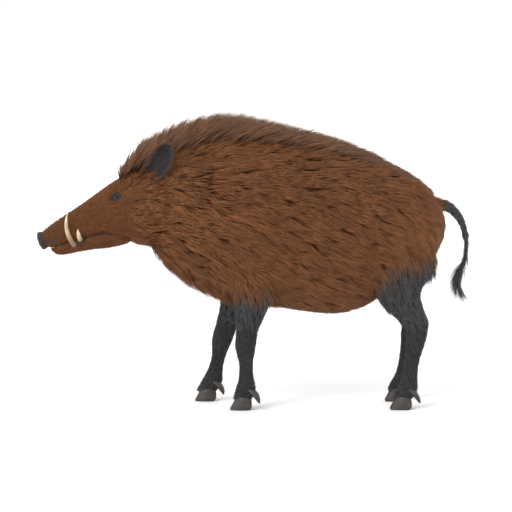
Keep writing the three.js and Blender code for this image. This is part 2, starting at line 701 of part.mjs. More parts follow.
// A lock of the tassel sets off along the tail, parts from it and falls.
function tasselLock(t, angle) {
  const { length, width, thick, stand } = varied(TASSEL);
  const { along } = tailHide.frame(t + 0.7);
  const out = tailHide.normal(t, angle).projectOnPlane(along).normalize();
  const across = along.clone().cross(out);
  const at = (s) =>
    tailHide
      .at(t, angle, -0.35 * stand)
      .addScaledVector(out, stand * s)
      .addScaledVector(along, length * s)
      .addScaledVector(UP, -0.25 * length * s * s);
  const ring = (s, wide, crown) => [
    at(s).addScaledVector(across, (-wide * width) / 2),
    at(s).addScaledVector(across, (wide * width) / 2),
    at(s).addScaledVector(out, crown * thick),
  ];
  return blade([ring(0, 0.5, 0.5), ring(0.3, 1, 1), ring(0.66, 0.75, 0.7)], at(1));
}

function tasselLocks() {
  const locks = [];
  for (const [row, t] of [5.7, 7].entries())
    for (let i = 0; i < 3; i++)
      locks.push(tasselLock(t, ((i + 0.5 * row) * 2 * Math.PI) / 3 + draw(-0.1, 0.1)));
  return locks;
}

// ---- Building ----

const boar = new THREE.Group();

function add(name, shape, material, group = boar) {
  const mesh = new THREE.Mesh(geometryOf(shape), material);
  mesh.name = name;
  group.add(mesh);
  return mesh;
}

const headGroup = new THREE.Group();
headGroup.position.copy(HEAD_AT);
headGroup.rotation.y = -HEAD_PITCH;
headGroup.updateMatrix();
boar.add(headGroup);
const toHead = headGroup.matrix.clone().invert();
const inHead = (shape) => solidFrom(geometryOf(shape), toHead);

const sideline = (x, z, lean) =>
  new THREE.Plane().setFromNormalAndCoplanarPoint(
    new THREE.Vector3(1, 0, lean).normalize(),
    new THREE.Vector3(x, 0, z),
  );
const behindHead = sideline(446, 700, -0.17);
const behindNeck = sideline(626, 660, -0.1);
const behindRibs = sideline(985, 600, -0.05);

const trunkCore = trunk.solid(24, 24).add(maneLine.solid(14, 6));
const trunkGrown = trunk.solid(24, 24, GAP).add(maneLine.solid(14, 6, GAP));
const legShapes = LEGS.map(({ rows, foot, side, step }) => legHide(rows, side * foot.y, step));
const legsGrown = legShapes.map((hide) => hide.solid(15, 10, GAP));
const tailGrown = tailHide.solid(17, 7, GAP);
const tail = tailHide.solid(17, 7).subtract(trunkGrown);

const fromHead = (shape) => solidFrom(geometryOf(shape), headGroup.matrix);
const earsGrown = [LEFT, RIGHT].map((side) => fromHead(ear(side, GAP)));
const jawGrown = jawHide.solid(11, 14, GAP);
const neighbours = wasm.Manifold.union([...legsGrown, ...earsGrown, tailGrown, fromHead(jawGrown)]);
const bristles = wasm.Manifold.union([...trunkLocks(), ...maneBlades(), ...ruffLocks()]);
const coatedTrunk = trunkCore.add(bristles.subtract(neighbours));

const neckBack = shortOf(coatedTrunk, behindNeck);
add("neck", largest(beyond(neckBack, behindHead)), COATS.body);
add("torso_front", largest(shortOf(beyond(coatedTrunk, behindNeck), behindRibs)), COATS.body);
add("torso_rear", largest(beyond(coatedTrunk, behindRibs)), COATS.body);

const crown = new THREE.Plane(UP, -HOOF_HEIGHT);
const ankleCut = new THREE.Plane(UP.clone().negate(), ANKLE);
for (const [i, { name, foot, side, step, knee }] of LEGS.entries()) {
  const leg = beyond(legShapes[i].solid(15, 10), crown).subtract(trunkGrown);
  const kneeCut = new THREE.Plane(UP.clone().negate(), knee);
  add(`${name}_upper`, largest(shortOf(leg, kneeCut)), COATS.dark);
  add(`${name}_cannon`, largest(shortOf(beyond(leg, kneeCut), ankleCut)), COATS.dark);
  add(`${name}_pastern`, largest(beyond(leg, ankleCut)), COATS.dark);
  const paw = new THREE.Group();
  paw.position.set(foot.x - step, side * foot.y, 0);
  paw.updateMatrix();
  boar.add(paw);
  const legGrown = solidFrom(geometryOf(legsGrown[i]), paw.matrix.clone().invert());
  for (const [toe, at] of [["inner", -side], ["outer", side]]) {
    const half = add(`${name}_hoof_${toe}`, hoof(), COATS.hoof, paw);
    half.position.y = at * TOE;
    add(`${name}_dewclaw_${toe}`, largest(dewclaw(at).subtract(legGrown)), COATS.hoof, paw);
  }
}

const tailPlanes = TAIL_CUTS.map((row) =>
  new THREE.Plane().setFromNormalAndCoplanarPoint(tailHide.frame(row).along, tailHide.centre(row)),
);
add("tail_root", largest(shortOf(tail, tailPlanes[0])), COATS.dark);
add("tail_middle", largest(shortOf(beyond(tail, tailPlanes[0]), tailPlanes[1])), COATS.dark);
const tassel = beyond(beyond(tail, tailPlanes[1]), tailPlanes[0]);
add("tail_tassel", largest(wasm.Manifold.union([tassel, ...tasselLocks()])), COATS.dark);

const headPlane = behindHead.clone().applyMatrix4(toHead);
const headSolid = headHide.solid(22, 22).add(inHead(coatedTrunk));
const headGrown = headHide.solid(22, 22, GAP).add(inHead(trunkGrown));
const sockets = [LEFT, RIGHT].map((side) => eyeball(side, GAP).add(lidSlit(side)));
let head = shortOf(headSolid, headPlane);
for (const side of [LEFT, RIGHT]) head = head.add(lids(side));
for (const socket of sockets) head = head.subtract(socket);
const discFace = new THREE.Plane(BACKWARD.clone(), -17);
add("head", largest(beyond(head, discFace)), COATS.body, headGroup);
add("snout_disc", snoutDisc(), COATS.snout, headGroup);
add("lower_jaw", largest(jawHide.solid(11, 14).subtract(headGrown)), COATS.body, headGroup);
const skull = headGrown.add(jawGrown);
for (const [word, side] of [["left", LEFT], ["right", RIGHT]]) {
  add(`eye_${word}`, eyeball(side), COATS.eye, headGroup);
  add(`ear_${word}`, largest(ear(side).subtract(headGrown)), COATS.dark, headGroup);
  for (const [jaw, rows] of [["lower", LOWER_TUSK], ["upper", UPPER_TUSK]])
    add(`tusk_${jaw}_${word}`, largest(tusk(rows, side).subtract(skull)), COATS.tusk, headGroup);
}

boar.position.x = -BODY_MIDDLE;

export default boar;
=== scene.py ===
"""A wild boar, an adult male in winter coat: hide, bristles, eyes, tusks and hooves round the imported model.

Sizes are millimetres. Along the body they are counted from the snout, as the model is drawn, and world()
turns them into metres in the model's frame. The boar faces -X and its left side faces -Y.
"""

import math

import bpy
import numpy as np
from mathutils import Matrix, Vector
from mathutils.bvhtree import BVHTree
from mathutils.kdtree import KDTree

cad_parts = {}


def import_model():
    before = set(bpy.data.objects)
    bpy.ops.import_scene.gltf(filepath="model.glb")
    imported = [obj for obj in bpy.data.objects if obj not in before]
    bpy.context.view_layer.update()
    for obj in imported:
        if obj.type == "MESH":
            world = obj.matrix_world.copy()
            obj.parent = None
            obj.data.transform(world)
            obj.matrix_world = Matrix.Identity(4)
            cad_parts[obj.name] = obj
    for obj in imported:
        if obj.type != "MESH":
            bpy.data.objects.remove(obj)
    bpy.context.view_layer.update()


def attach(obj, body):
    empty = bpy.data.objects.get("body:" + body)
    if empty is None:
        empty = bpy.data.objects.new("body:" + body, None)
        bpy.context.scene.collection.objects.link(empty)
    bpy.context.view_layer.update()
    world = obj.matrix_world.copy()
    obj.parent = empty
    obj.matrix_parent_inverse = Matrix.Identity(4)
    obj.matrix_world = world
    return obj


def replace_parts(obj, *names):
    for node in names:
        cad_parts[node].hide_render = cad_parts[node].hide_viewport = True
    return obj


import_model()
rng = np.random.default_rng(1217)

BODY_MIDDLE = 750
HEAD_AT = np.array([8.0, 0.0, 572.0])
HEAD_PITCH = math.radians(20)
LEFT, RIGHT = -1, 1
SIDES = ((LEFT, "left"), (RIGHT, "right"))


def world(points):
    """Millimetres from the snout as metres in the model's frame."""
    return (np.asarray(points, float) - (BODY_MIDDLE, 0, 0)) / 1000


COS, SIN = math.cos(HEAD_PITCH), math.sin(HEAD_PITCH)
HEAD_TURN = np.array([[COS, 0, -SIN], [0, 1, 0], [SIN, 0, COS]])


def from_head(points):
    """The head's own millimetres, X back from the snout and Z its top, as the body's."""
    return np.asarray(points, float) @ HEAD_TURN.T + HEAD_AT


def to_head(points):
    """Metres in the model's frame as the head's own millimetres."""
    return (np.asarray(points) * 1000 + (BODY_MIDDLE, 0, 0) - HEAD_AT) @ HEAD_TURN


def unit(vectors):
    return vectors / np.maximum(np.linalg.norm(vectors, axis=-1, keepdims=True), 1e-9)


def smoothstep(x, low, high):
    """0 below low, 1 above high, and a soft step between them."""
    s = np.clip((x - low) / (high - low), 0, 1)
    return s * s * (3 - 2 * s)


def fade(x, low, high):
    """1 below low, 0 above high, and a soft step between them."""
    return smoothstep(-x, -high, -low)


def hill(*spans):
    """A soft hill of height 1. Each span is how far a point is from its middle and the reach that way."""
    return np.exp(-sum((away / reach) ** 2 for away, reach in spans))


# ---- Hands: Blender's operators in short ----


def pick(*pieces):
    """Selects these pieces alone, the first of them active."""
    bpy.ops.object.select_all(action="DESELECT")
    for piece in pieces:
        piece.select_set(True)
    bpy.context.view_layer.objects.active = pieces[0]


def named(name):
    """What was just made, under its name."""
    piece = bpy.context.object
    piece.name = piece.data.name = name
    return piece


def applied(piece, kind, **settings):
    """A modifier added to a piece and applied at once."""
    pick(piece)
    modifier = piece.modifiers.new(kind.lower(), kind)
    for setting, value in settings.items():
        setattr(modifier, setting, value)
    bpy.ops.object.modifier_apply(modifier=modifier.name)


def held(items, field, width, kind=float):
    """What a mesh's items hold in a field, width numbers each, as an array's rows."""
    values = np.empty(len(items) * width, kind)
    items.foreach_get(field, values)
    return values.reshape(-1, width)


def places(piece):
    return held(piece.data.vertices, "co", 3)


def place(piece, co):
    piece.data.vertices.foreach_set("co", np.ascontiguousarray(co, np.float32).ravel())
    piece.data.update()


def normals(piece):
    return held(piece.data.vertices, "normal", 3)


def closest(spots, points):
    """Which of the spots lies closest to each point."""
    tree = KDTree(len(spots))
    for i, spot in enumerate(spots.tolist()):
        tree.insert(spot, i)
    tree.balance()
    return np.array([tree.find(point)[1] for point in points.tolist()])


def joined(name, pieces):
    """Pieces made into one mesh."""
    pick(*pieces)
    bpy.ops.object.join()
    return named(name)


def worked(piece, *steps):
    """Takes all of a piece through steps of edit mode, each an operator with its settings."""
    pick(piece)
    bpy.ops.object.mode_set(mode="EDIT")
    bpy.ops.mesh.select_all(action="SELECT")
    for operator, settings in steps:
        operator(**settings)
    bpy.ops.object.mode_set(mode="OBJECT")


MERGED = (bpy.ops.mesh.remove_doubles, {"threshold": 1e-6})
FILLED = (bpy.ops.mesh.fill_holes, {"sides": 0})
FACING_OUT = (bpy.ops.mesh.normals_make_consistent, {"inside": False})


def rolled(name, rings, steps=(MERGED, FILLED, FACING_OUT)):
    """A grid rolled into a tube through rings of points in metres. Its ends are filled, or merge."""
    bpy.ops.mesh.primitive_grid_add(x_subdivisions=rings.shape[1], y_subdivisions=len(rings) - 1)
    tube = named(name)
    place(tube, np.concatenate([rings, rings[:, :1]], axis=1).reshape(-1, 3))
    worked(tube, *steps)
    return tube


def marked(piece, **marks):
    """Keeps numbers for each vertex, which the finishes read by name."""
    for name, values in marks.items():
        layer = piece.data.attributes.new(name, "FLOAT", "POINT")
        layer.data.foreach_set("value", np.ascontiguousarray(values, np.float32))


def smooth(piece):
    piece.data.shade_smooth()
    return piece


# ---- Forms: the body's parts as rings along a line ----


class Form:
    """Rings along rows of stations. A ring reaches side to both sides, up and down square to that; a
    pinch over 1 narrows its upper half like a roof, and a keel under 1 squares its lower half."""

    def __init__(self, rows, bends=False, swellings=()):
        self.keys = list(rows[0])
        self.rows = np.array([[row[key] for key in self.keys] for row in rows], float)
        self.last = len(rows) - 1
        self.bends = bends
        self.swellings = swellings

    def ring(self, t):
        """The rows' values at t, on a curve through every row."""
        t = np.clip(np.atleast_1d(np.asarray(t, float)), 0, self.last)
        i = np.minimum(t.astype(int), self.last - 1)
        p = (t - i)[:, None]
        first, final = i == 0, i == self.last - 1
        before = self.rows[np.where(first, i + 1, i - 1)]
        after = self.rows[np.where(final, i, np.minimum(i + 2, self.last))]
        wp = np.where(first, -0.5, 0.5)[:, None]
        wn = np.where(final, -0.5, 0.5)[:, None]
        values = (
            (-wp * p**3 + 2 * wp * p**2 - wp * p) * before
            + ((1 + wp) * p**3 + (-1.5 - 2 * wp) * p**2 + (-0.5 + wp) * p + 1) * self.rows[i]
            + ((-1 - wn) * p**3 + (1.5 + wn) * p**2 + 0.5 * p) * self.rows[i + 1]
            + (wn * p**3 - wn * p**2) * after
        )
        return dict(zip(self.keys, values.T))

    def centre(self, t):
        ring = self.ring(t)
        return np.stack([ring["x"], ring["y"], ring["z"]], axis=-1)

    def axes(self, t):
        """The directions along the line, to the side and up."""
        count = len(np.atleast_1d(t))
        if not self.bends:
            return (np.tile(axis, (count, 1)) for axis in np.eye(3))
        near = np.clip(t, 0.01, self.last - 0.01)
        along = unit(self.centre(near + 0.01) - self.centre(near - 0.01))
        side = unit(np.array([0, 1, 0]) - along * along[:, 1:2])
        return along, side, np.cross(along, side)

    def grid(self, t, sides, turn=0):
        """Points of each ring at t, sides of them round it."""
        angle = 2 * np.pi * np.arange(sides) / sides + turn
        c, s = np.cos(angle)[None], np.sin(angle)[None]
        ring = {key: values[:, None] for key, values in self.ring(t).items()}
        _, side, up = self.axes(t)
        shape = np.where(s > 0, ring.get("pinch", 1), ring.get("keel", 1))
        outward = np.sign(c) * np.abs(c) ** shape * ring["side"]
        upward = np.where(s > 0, s * ring["up"], -(np.abs(s) ** shape) * ring["down"])
        points = self.centre(t)[:, None] + outward[..., None] * side[:, None]
        points = points + upward[..., None] * up[:, None]
        for x, z, (long, high), rise in self.swellings:
            swelling = rise * hill((points[..., 0] - x, long), (points[..., 2] - z, high))
            points[..., 1] += swelling * outward / ring["side"]
        return points

    def hull(self, steps, sides, out):
        """Rings from end to end, moved out along the surface's normals, and the way along at each point."""
        t = np.linspace(0, self.last, steps)
        points = self.grid(t, sides)
        way = np.gradient(points, axis=0)
        around = np.roll(points, -1, axis=1) - np.roll(points, 1, axis=1)
        return points + unit(np.cross(around, way)) * out, unit(way)


def upright(*rows):
    """Stations as x, top, low, widest half width, its level, pinch and keel."""
    return [
        dict(x=x, y=0, z=level, up=top - level, down=level - low, side=wide, pinch=pinch, keel=keel)
        for x, top, low, wide, level, pinch, keel in rows
    ]


TRUNK = Form(
    upright(
        (340, 780, 640, 44, 706, 1.1, 1),  # inside the head
        (395, 838, 560, 84, 694, 1.15, 0.95),  # nape and throat
        (465, 882, 490, 112, 676, 1.2, 0.9),
        (560, 914, 428, 136, 654, 1.3, 0.82),
        (665, 926, 386, 156, 628, 1.35, 0.76),  # withers and brisket
        (780, 918, 362, 163, 604, 1.3, 0.76),  # behind the elbow
        (900, 902, 344, 170, 590, 1.2, 0.84),
        (1020, 882, 330, 171, 584, 1.15, 0.88),  # deepest belly
        (1120, 858, 350, 163, 588, 1.12, 0.84),
        (1200, 832, 400, 155, 594, 1.1, 0.76),  # flank and stifle
        (1280, 796, 440, 144, 602, 1.08, 0.72),  # croup
        (1345, 752, 500, 124, 614, 1.05, 0.8),
        (1388, 706, 550, 92, 620, 1, 0.9),  # rump
        (1411, 660, 594, 42, 624, 1, 1),
    ),
    swellings=[
        (700, 640, (85, 150), 14),  # shoulder blade
        (755, 480, (70, 80), 11),  # upper arm
        (850, 640, (50, 150), -8),  # hollow behind the shoulder
        (1145, 590, (55, 110), -10),  # hollow of the flank
        (1275, 600, (85, 130), 12),  # haunch
    ],
)
HEAD = Form(
    upright(
        (17, 31, -29, 30, 0, 1, 0.95),
        (32, 36, -32, 32, -2, 1, 0.9),
        (62, 45, -35, 37, -4, 1, 0.8),
        (110, 57, -38, 43, -6, 0.95, 0.75),  # canines
        (165, 70, -42, 48, -8, 0.95, 0.75),
        (222, 85, -54, 60, -8, 1, 0.8),  # corner of the mouth
        (275, 100, -92, 77, -10, 1, 0.85),
        (325, 111, -124, 94, -16, 1.05, 0.9),  # eyes
        (378, 117, -144, 105, -26, 1.1, 0.9),  # angle of the jaw
        (430, 114, -140, 107, -28, 1.1, 0.9),  # ears
        (474, 100, -112, 98, -24, 1, 1),
        (504, 68, -68, 64, -10, 1, 1),
    ),
    swellings=[
        (118, -18, (24, 20), 7),  # lip raised over the canines
        (215, 20, (45, 26), -6),  # hollow before the eye
        (300, 92, (34, 20), 6),  # brow
        (372, -62, (55, 60), 8),  # cheek
    ],
)
JAW = Form(
    upright(
        (28, -33, -44, 15, -38, 1, 1),
        (40, -28, -62, 25, -42, 0.8, 0.95),  # chin
        (70, -26, -73, 32, -44, 0.7, 0.9),
        (112, -28, -79, 38, -46, 0.7, 0.9),
        (165, -32, -88, 45, -50, 0.7, 0.9),
        (222, -44, -101, 57, -58, 0.8, 0.95),
        (270, -60, -106, 62, -76, 1, 1),
        (300, -70, -100, 48, -86, 1, 1),
    )
)
DISC = Form(
    [
        dict(x=x, y=0, z=0, up=32 * share, down=30 * share, side=34 * share)
        for x, share in ((-3, 0.6), (0, 0.92), (5, 1.05), (10, 1.02), (16, 0.96), (24, 0.86))
    ]
)
FORE_ROWS = (
    (700, 560, 92, 90, 40),  # upper arm, inside the chest
    (726, 480, 92, 84, 44),
    (742, 410, 76, 70, 45),  # elbow
    (738, 345, 55, 52, 40),
    (730, 280, 40, 42, 34),
    (724, 218, 37, 40, 36),  # knee
    (724, 160, 29, 28, 27),
    (724, 112, 31, 28, 28),  # cannon
    (722, 80, 39, 33, 34),  # fetlock
    (714, 42, 35, 36, 34),  # crown of the hooves
    (708, 20, 34, 36, 33),
)
HIND_ROWS = (
    (1285, 610, 76, 96, 40),  # hip, inside the rump
    (1264, 530, 116, 118, 50),
    (1250, 460, 102, 100, 52),  # stifle
    (1258, 395, 74, 76, 46),
    (1284, 338, 52, 50, 37),
    (1308, 288, 46, 40, 34),  # hock
    (1304, 232, 41, 33, 30),
    (1296, 168, 30, 28, 26),  # cannon
    (1288, 112, 32, 29, 27),
    (1282, 80, 38, 33, 33),  # fetlock
    (1266, 42, 35, 36, 34),  # crown of the hooves
    (1258, 20, 34, 36, 33),
)
HOOF_HEIGHT = 42
# Each leg: its rows, its foot, which side it is on and how far it steps ahead.
LEGS = {
    "fore_left": (FORE_ROWS, 714, LEFT * 110, 0),
    "fore_right": (FORE_ROWS, 714, RIGHT * 110, 126),
    "hind_left": (HIND_ROWS, 1266, LEFT * 102, 0),
    "hind_right": (HIND_ROWS, 1266, RIGHT * 102, 8),
}


def leg_form(rows, y, step):
    """A leg that swings forward from its top ring."""
    top = rows[0][1]
    return Form(
        [
            dict(x=x - step * (top - z) / (top - HOOF_HEIGHT), y=y, z=z, up=up, down=down, side=side)
            for x, z, up, down, side in rows
        ],
        bends=True,
    )


TAIL_ROWS = (  # x, z and radius
    (1372, 706, 21), (1424, 694, 18), (1464, 656, 14.5), (1484, 604, 12.5), (1490, 552, 12),
    (1483, 506, 12), (1464, 466, 14), (1458, 430, 14), (1470, 398, 9), (1484, 378, 2),
)
TAIL = Form([dict(x=x, y=0, z=z, up=r, down=r, side=r * 0.9) for x, z, r in TAIL_ROWS], bends=True)
# The mane's line: x, height of its foot, how far the tips rise and how far they lean back.
MANE = np.array(
    [
        (292, 788, 66, 20), (330, 808, 138, 40), (400, 838, 158, 62), (480, 884, 138, 74),
        (560, 912, 123, 80), (660, 924, 104, 84), (800, 915, 84, 86), (960, 892, 65, 84),
        (1090, 862, 46, 78), (1190, 832, 30, 70), (1260, 806, 22, 60), (1330, 772, 12, 48),
    ],
    float,
)
EAR_AT = np.array([436.0, 74.0, 86.0])
EAR_SPREAD, EAR_RISE = math.radians(24), math.radians(32)
EAR_INSET, EAR_ARC = 1.2, 15  # under its fur, and the points on each arc of a ring
EAR_ROWS = (  # how far along, half its width, the arc's spread, thickness and how far it bends
    (-34, 33, 1.9, 8, 0), (6, 37, 1.6, 7, 0), (45, 44, 1.15, 6, 3),
    (90, 42, 0.95, 5, 8), (128, 28, 0.8, 4.5, 12), (151, 8, 0.7, 3.6, 16),
)
EYE_AT, EYE_RISE, EYE_DEPTH, EYE_RADIUS = 302, math.radians(37), 7.5, 13.0


def ear_axes(side):
    """The directions along an ear and out of its cup."""
    forward = math.cos(EAR_RISE) * math.cos(EAR_SPREAD)
    length = unit(np.array([forward, side * math.sin(EAR_SPREAD), math.sin(EAR_RISE)]))
    cup = np.array([-0.36, side * 0.93, 0.1])
    return length, unit(cup - length * (cup @ length))


def ear_rings(side):
    """An ear as a cupped blade: each ring is an arc of its outside and the arc of its inside."""
    length, mouth = ear_axes(side)
    across = np.cross(length, mouth)
    rows = Form([dict(zip(("x", "half", "spread", "thick", "bend"), row)) for row in EAR_ROWS])
    stops = np.linspace(-1, 1, EAR_ARC)[:, None]
    rings = []
    for t in np.linspace(0, rows.last, 34):
        ring = {key: values[0] for key, values in rows.ring(t).items()}
        radius = ring["half"] / math.sin(min(ring["spread"], math.pi / 2))
        ripple = 1.2 * np.sin(stops * 9 + t * 0.7) * smoothstep(ring["x"], 20, 70)  # ridges inside the cup

        def arc(r, angle):
            middle = EAR_AT * (1, side, 1) + length * ring["x"]
            depth = ring["bend"] + radius - ring["half"] * 0.9 - r * np.cos(angle)
            return middle + across * (r * np.sin(angle)) + mouth * depth

        outside = arc(radius - EAR_INSET, stops * (ring["spread"] - EAR_INSET / radius))
        turn = -stops * (ring["spread"] - 0.03 - EAR_INSET / radius)
        inside = arc(radius - ring["thick"] + EAR_INSET + ripple, turn)
        rings.append(np.concatenate([outside, inside]))
    rings = np.array(rings)
    return rings, unit(np.gradient(rings, axis=0))


# ---- Hide: one skin over all the flesh ----

# How far the skin lies inside the solids: the coat's depth, or its core's under locks.
UNDER_COAT, UNDER_LEG, UNDER_FACE, UNDER_TAIL = -10, -5, -3, -3
BODY, FACE, LEG, TAIL_PART, EAR_PART, NOSE = range(6)
guide_points, guide_ways, guide_kinds = [], [], []


def limb(name, points, way, kind):
    """A rolled tube of the body, whose points also guide the coat that later grows near them."""
    guide_points.append(world(points).reshape(-1, 3))
    guide_ways.append(way.reshape(-1, 3))
    guide_kinds.append(np.full(points.shape[0] * points.shape[1], kind))
    return rolled(name, world(points))


def head_limb(name, form, steps, sides, out, kind):
    """A limb whose form is drawn in the head's own millimetres."""
    points, way = form.hull(steps, sides, out)
    return limb(name, from_head(points), way @ HEAD_TURN.T, kind)


def eye_frame(side):
    """The eye's place and axes in the head: back along the lids, up across them, and out."""
    turn = EYE_RISE if side == RIGHT else math.pi - EYE_RISE
    t = np.interp(EYE_AT, HEAD.rows[:, 0], np.arange(HEAD.last + 1))
    near = HEAD.grid(np.array([t - 0.02, t, t + 0.02]), 2, turn)[:, 0]
    over, under = (HEAD.grid(np.array([t]), 2, turn + nudge)[0, 0] for nudge in (0.02, -0.02))
    out = unit(np.cross(over - under, near[2] - near[0]))
    back = np.array([math.cos(0.2), 0, -math.sin(0.2)])
    back = unit(back - out * (back @ out))
    return near[1] - out * EYE_DEPTH, back, np.cross(out, back), out


EYES = {side: eye_frame(side) for side in (LEFT, RIGHT)}
LID_LONG, LID_HIGH, LID_EDGE = 10.5, 6.4, 1.5
# The mouth's line along the head, as x and z, back to its corner.
MOUTH = np.array([(26, -33), (45, -32), (70, -33), (112, -37), (165, -42), (205, -49), (236, -60)], float)
NOSTRIL = (13.5, 1)  # beside the middle and up
TUSK_ROOTS = ((112, -47, 5.5), (139, -37, 7.0))  # x, z and how high the skin folds round them


def carved(co, out):
    """The head's finer forms: nostrils, mouth and lips, the folds of the snout, the lids' opening and
    the folds round the eyes. Points come and go in metres."""
    head = to_head(co)
    x, y, z = head.T
    way = out @ HEAD_TURN
    aside = np.abs(y)
    rise = np.zeros(len(co))
    # Nostrils: oval pits that slant out and up, each with a raised rim.
    for side in (LEFT, RIGHT):
        dy, dz = y - side * NOSTRIL[0], z - NOSTRIL[1]
        dy, dz = dy * 0.94 + side * dz * 0.34, dz * 0.94 - side * dy * 0.34
        away = np.sqrt((dy / 6.2) ** 2 + (dz / 8.6) ** 2)
        face = (x < 9) & (way[:, 0] < -0.2)
        head[:, 0] += np.where(face, 15 * fade(away, 0.45, 1.12), 0)
        head[:, 0] -= np.where(face, 1.6 * hill((away - 1.45, 0.3)), 0)
    # A shallow groove down the disc, and fine folds round its rim.
    disc = fade(x, 14, 24)
    rise -= disc * 0.9 * hill((y, 2.2)) * (way[:, 0] < -0.3)
    turn = np.arctan2(z - 2, y)
    rise += 0.55 * np.sin(24 * turn + 0.8 * np.sin(3 * turn)) * hill((x - 15, 5))
    rise += 0.35 * np.sin(0.9 * y + 2 * np.sin(0.21 * z)) * np.sin(0.8 * z + 1.4 * np.sin(0.17 * y)) * disc
    # The mouth: a closed line between two soft lips.
    line = np.interp(x, MOUTH[:, 0], MOUTH[:, 1])
    along = smoothstep(x, 18, 34) * fade(x, 224, 242)
    for high, above, reach in ((-5.0, 0, 1.9), (1.8, 6, 3.6), (1.5, -6, 3.6)):
        rise += along * high * hill((z - line - above, reach))
    # Folds across the bridge of the snout, deepest close behind the disc.
    fold = np.sin(x * 0.62 + 0.9 * np.sin(y * 0.09) + 0.5 * np.sin(z * 0.13))
    rise += 1.0 * fold * hill((x - 42, 22)) * smoothstep(z, -26, -8)
    rise += 0.7 * np.sin(x * 0.33 + 0.05 * z) * hill((x - 105, 42)) * smoothstep(z, 5, 40)
    # A fold of skin round the root of each tusk.
    for at_x, at_z, high in TUSK_ROOTS:
        rise += high * hill((np.hypot(x - at_x, z - at_z) - 11.5, 3.3)) * (aside > 25)
    # Forms of both cheeks: height, the distance from the middle line where they begin, and their spans.
    for high, beside, *spans in (
        (-2.2, 20, (x - 240 - (z + 60) * 0.3, 3.0), (z + 66, 12)),  # fold at the corner of the mouth
        (3.0, 20, (x - 122, 20), (z + 30, 14)),  # lip pushed out by the tusks
        (9, 18, (x - 113, 14), (z + 56, 11)),  # lip under the lower tusk
        (8, 18, (x - 140, 14), (z + 28, 11)),  # lip over the upper tusk
        (2.6, 18, (z - 46 - (x - 230) * 0.27, 9), (x - 250, 50)),  # bony ridge from the brow
        (-2.4, 18, (z - 20, 16), (x - 282, 26)),  # hollow under the eye
    ):
        rise += high * hill(*spans) * (aside > beside)
    # Muscle of the jaw.
    rise += 4.0 * hill((x - 330, 34), (z + 60, 34)) * fade(x, 470, 560)
    for middle, back, up, outward in EYES.values():
        near = head - middle
        a, b, c = near @ back, near @ up, near @ outward
        close = c > 0
        oval = np.sqrt((a / LID_LONG) ** 2 + (b / LID_HIGH) ** 2)
        ring = np.sqrt((a / (LID_LONG + 3)) ** 2 + (b / (LID_HIGH + 3)) ** 2)
        for high, at, reach, share in (
            (3.4, 1.12, 0.26, 1),  # the lids, swollen round the opening
            (-1.9, 1.75, 0.13, smoothstep(b, -4, 6)),  # a crease over them
            (2.4, 2.25, 0.34, smoothstep(b, -2, 9)),  # the brow's fold
            (-1.2, 1.8, 0.16, fade(b, -8, -2)),  # a crease below
            (0.9, 2.1, 0.16, fade(b, -8, -2)),  # and its bag
        ):
            rise += close * high * hill((ring - at, reach)) * share
        # The inner corner runs forward into a short tear line.
        rise -= close * 2.0 * hill((b + 1.5, 1.6), (a + 17, 5))
        # Inside the opening the skin drops behind the eyeball.
        sink = close & (oval < 1.05)
        depth = np.sqrt(np.maximum(EYE_RADIUS**2 - a**2 - b**2, 0)) - 3.2
        lower = np.where(sink, np.maximum(c - depth, 0) * fade(oval, 0.93, 1.05), 0)
        head -= lower[:, None] * outward
    head += way * (rise * fade(x, 380, 420))[:, None]
    return world(from_head(head))


def lid_rim(side):
    """The moist edge of the lids, a thin tube along the opening on the eyeball."""
    middle, back, up, outward = EYES[side]
    angle = np.linspace(0, 2 * np.pi, 48, endpoint=False)
    a = LID_LONG * np.cos(angle) * (1 + 0.08 * (np.cos(angle) < 0))
    b = LID_HIGH * np.sin(angle) * np.abs(np.sin(angle)) ** 0.25
    c = np.sqrt(np.maximum(EYE_RADIUS**2 - a**2 - b**2, 4)) + 0.2
    line = middle + a[:, None] * back + b[:, None] * up + c[:, None] * outward
    turn = np.linspace(0, 2 * np.pi, 8, endpoint=False)[None, :, None]
    way = unit(np.roll(line, -1, 0) - np.roll(line, 1, 0))
    out = unit(line - middle)
    across = np.cross(way, out)
    rings = line[:, None] + LID_EDGE * (np.cos(turn) * out[:, None] + np.sin(turn) * across[:, None])
    return world(from_head(np.concatenate([rings, rings[:1]])))


FRONT_EDGE, REAR_EDGE = 620, 560  # the fine skin of head and neck runs over the body's coarser one
FINE, QUICK_FINE, COARSE = 0.0019, 0.003, 0.0075  # how fine the two skins are, in metres
KEPT = 0.22  # the share of the face's and neck's mesh that is kept

trunk_points, trunk_way = TRUNK.hull(90, 72, UNDER_COAT)
neck_rows = trunk_points[..., 0].mean(axis=1) < FRONT_EDGE
rear_rows = trunk_points[..., 0].mean(axis=1) > REAR_EDGE
face_pieces = [
    limb("neck_form", trunk_points[neck_rows], trunk_way[neck_rows], BODY),
    head_limb("head_form", HEAD, 80, 72, UNDER_FACE, FACE),
    head_limb("jaw_form", JAW, 40, 48, UNDER_FACE, FACE),
    head_limb("disc_form", DISC, 16, 48, 0, NOSE),
]
body_pieces = [limb("trunk_form", trunk_points[rear_rows] * (1, 0.995, 1), trunk_way[rear_rows], BODY)]
for leg, (rows, foot, y, step) in LEGS.items():
    points, way = leg_form(rows, y, step).hull(60, 32, UNDER_LEG)
    points[..., 2] = np.maximum(points[..., 2], HOOF_HEIGHT - 6)
    body_pieces.append(limb(f"{leg}_form", points, way, LEG))
points, way = TAIL.hull(50, 20, UNDER_TAIL)
body_pieces.append(limb("tail_form", points, way, TAIL_PART))

face = joined("face", face_pieces)
applied(face, "REMESH", mode="VOXEL", voxel_size=FINE)
applied(face, "SMOOTH", iterations=6, factor=0.5)
place(face, carved(places(face), normals(face)))
applied(face, "SMOOTH", iterations=1, factor=0.4)

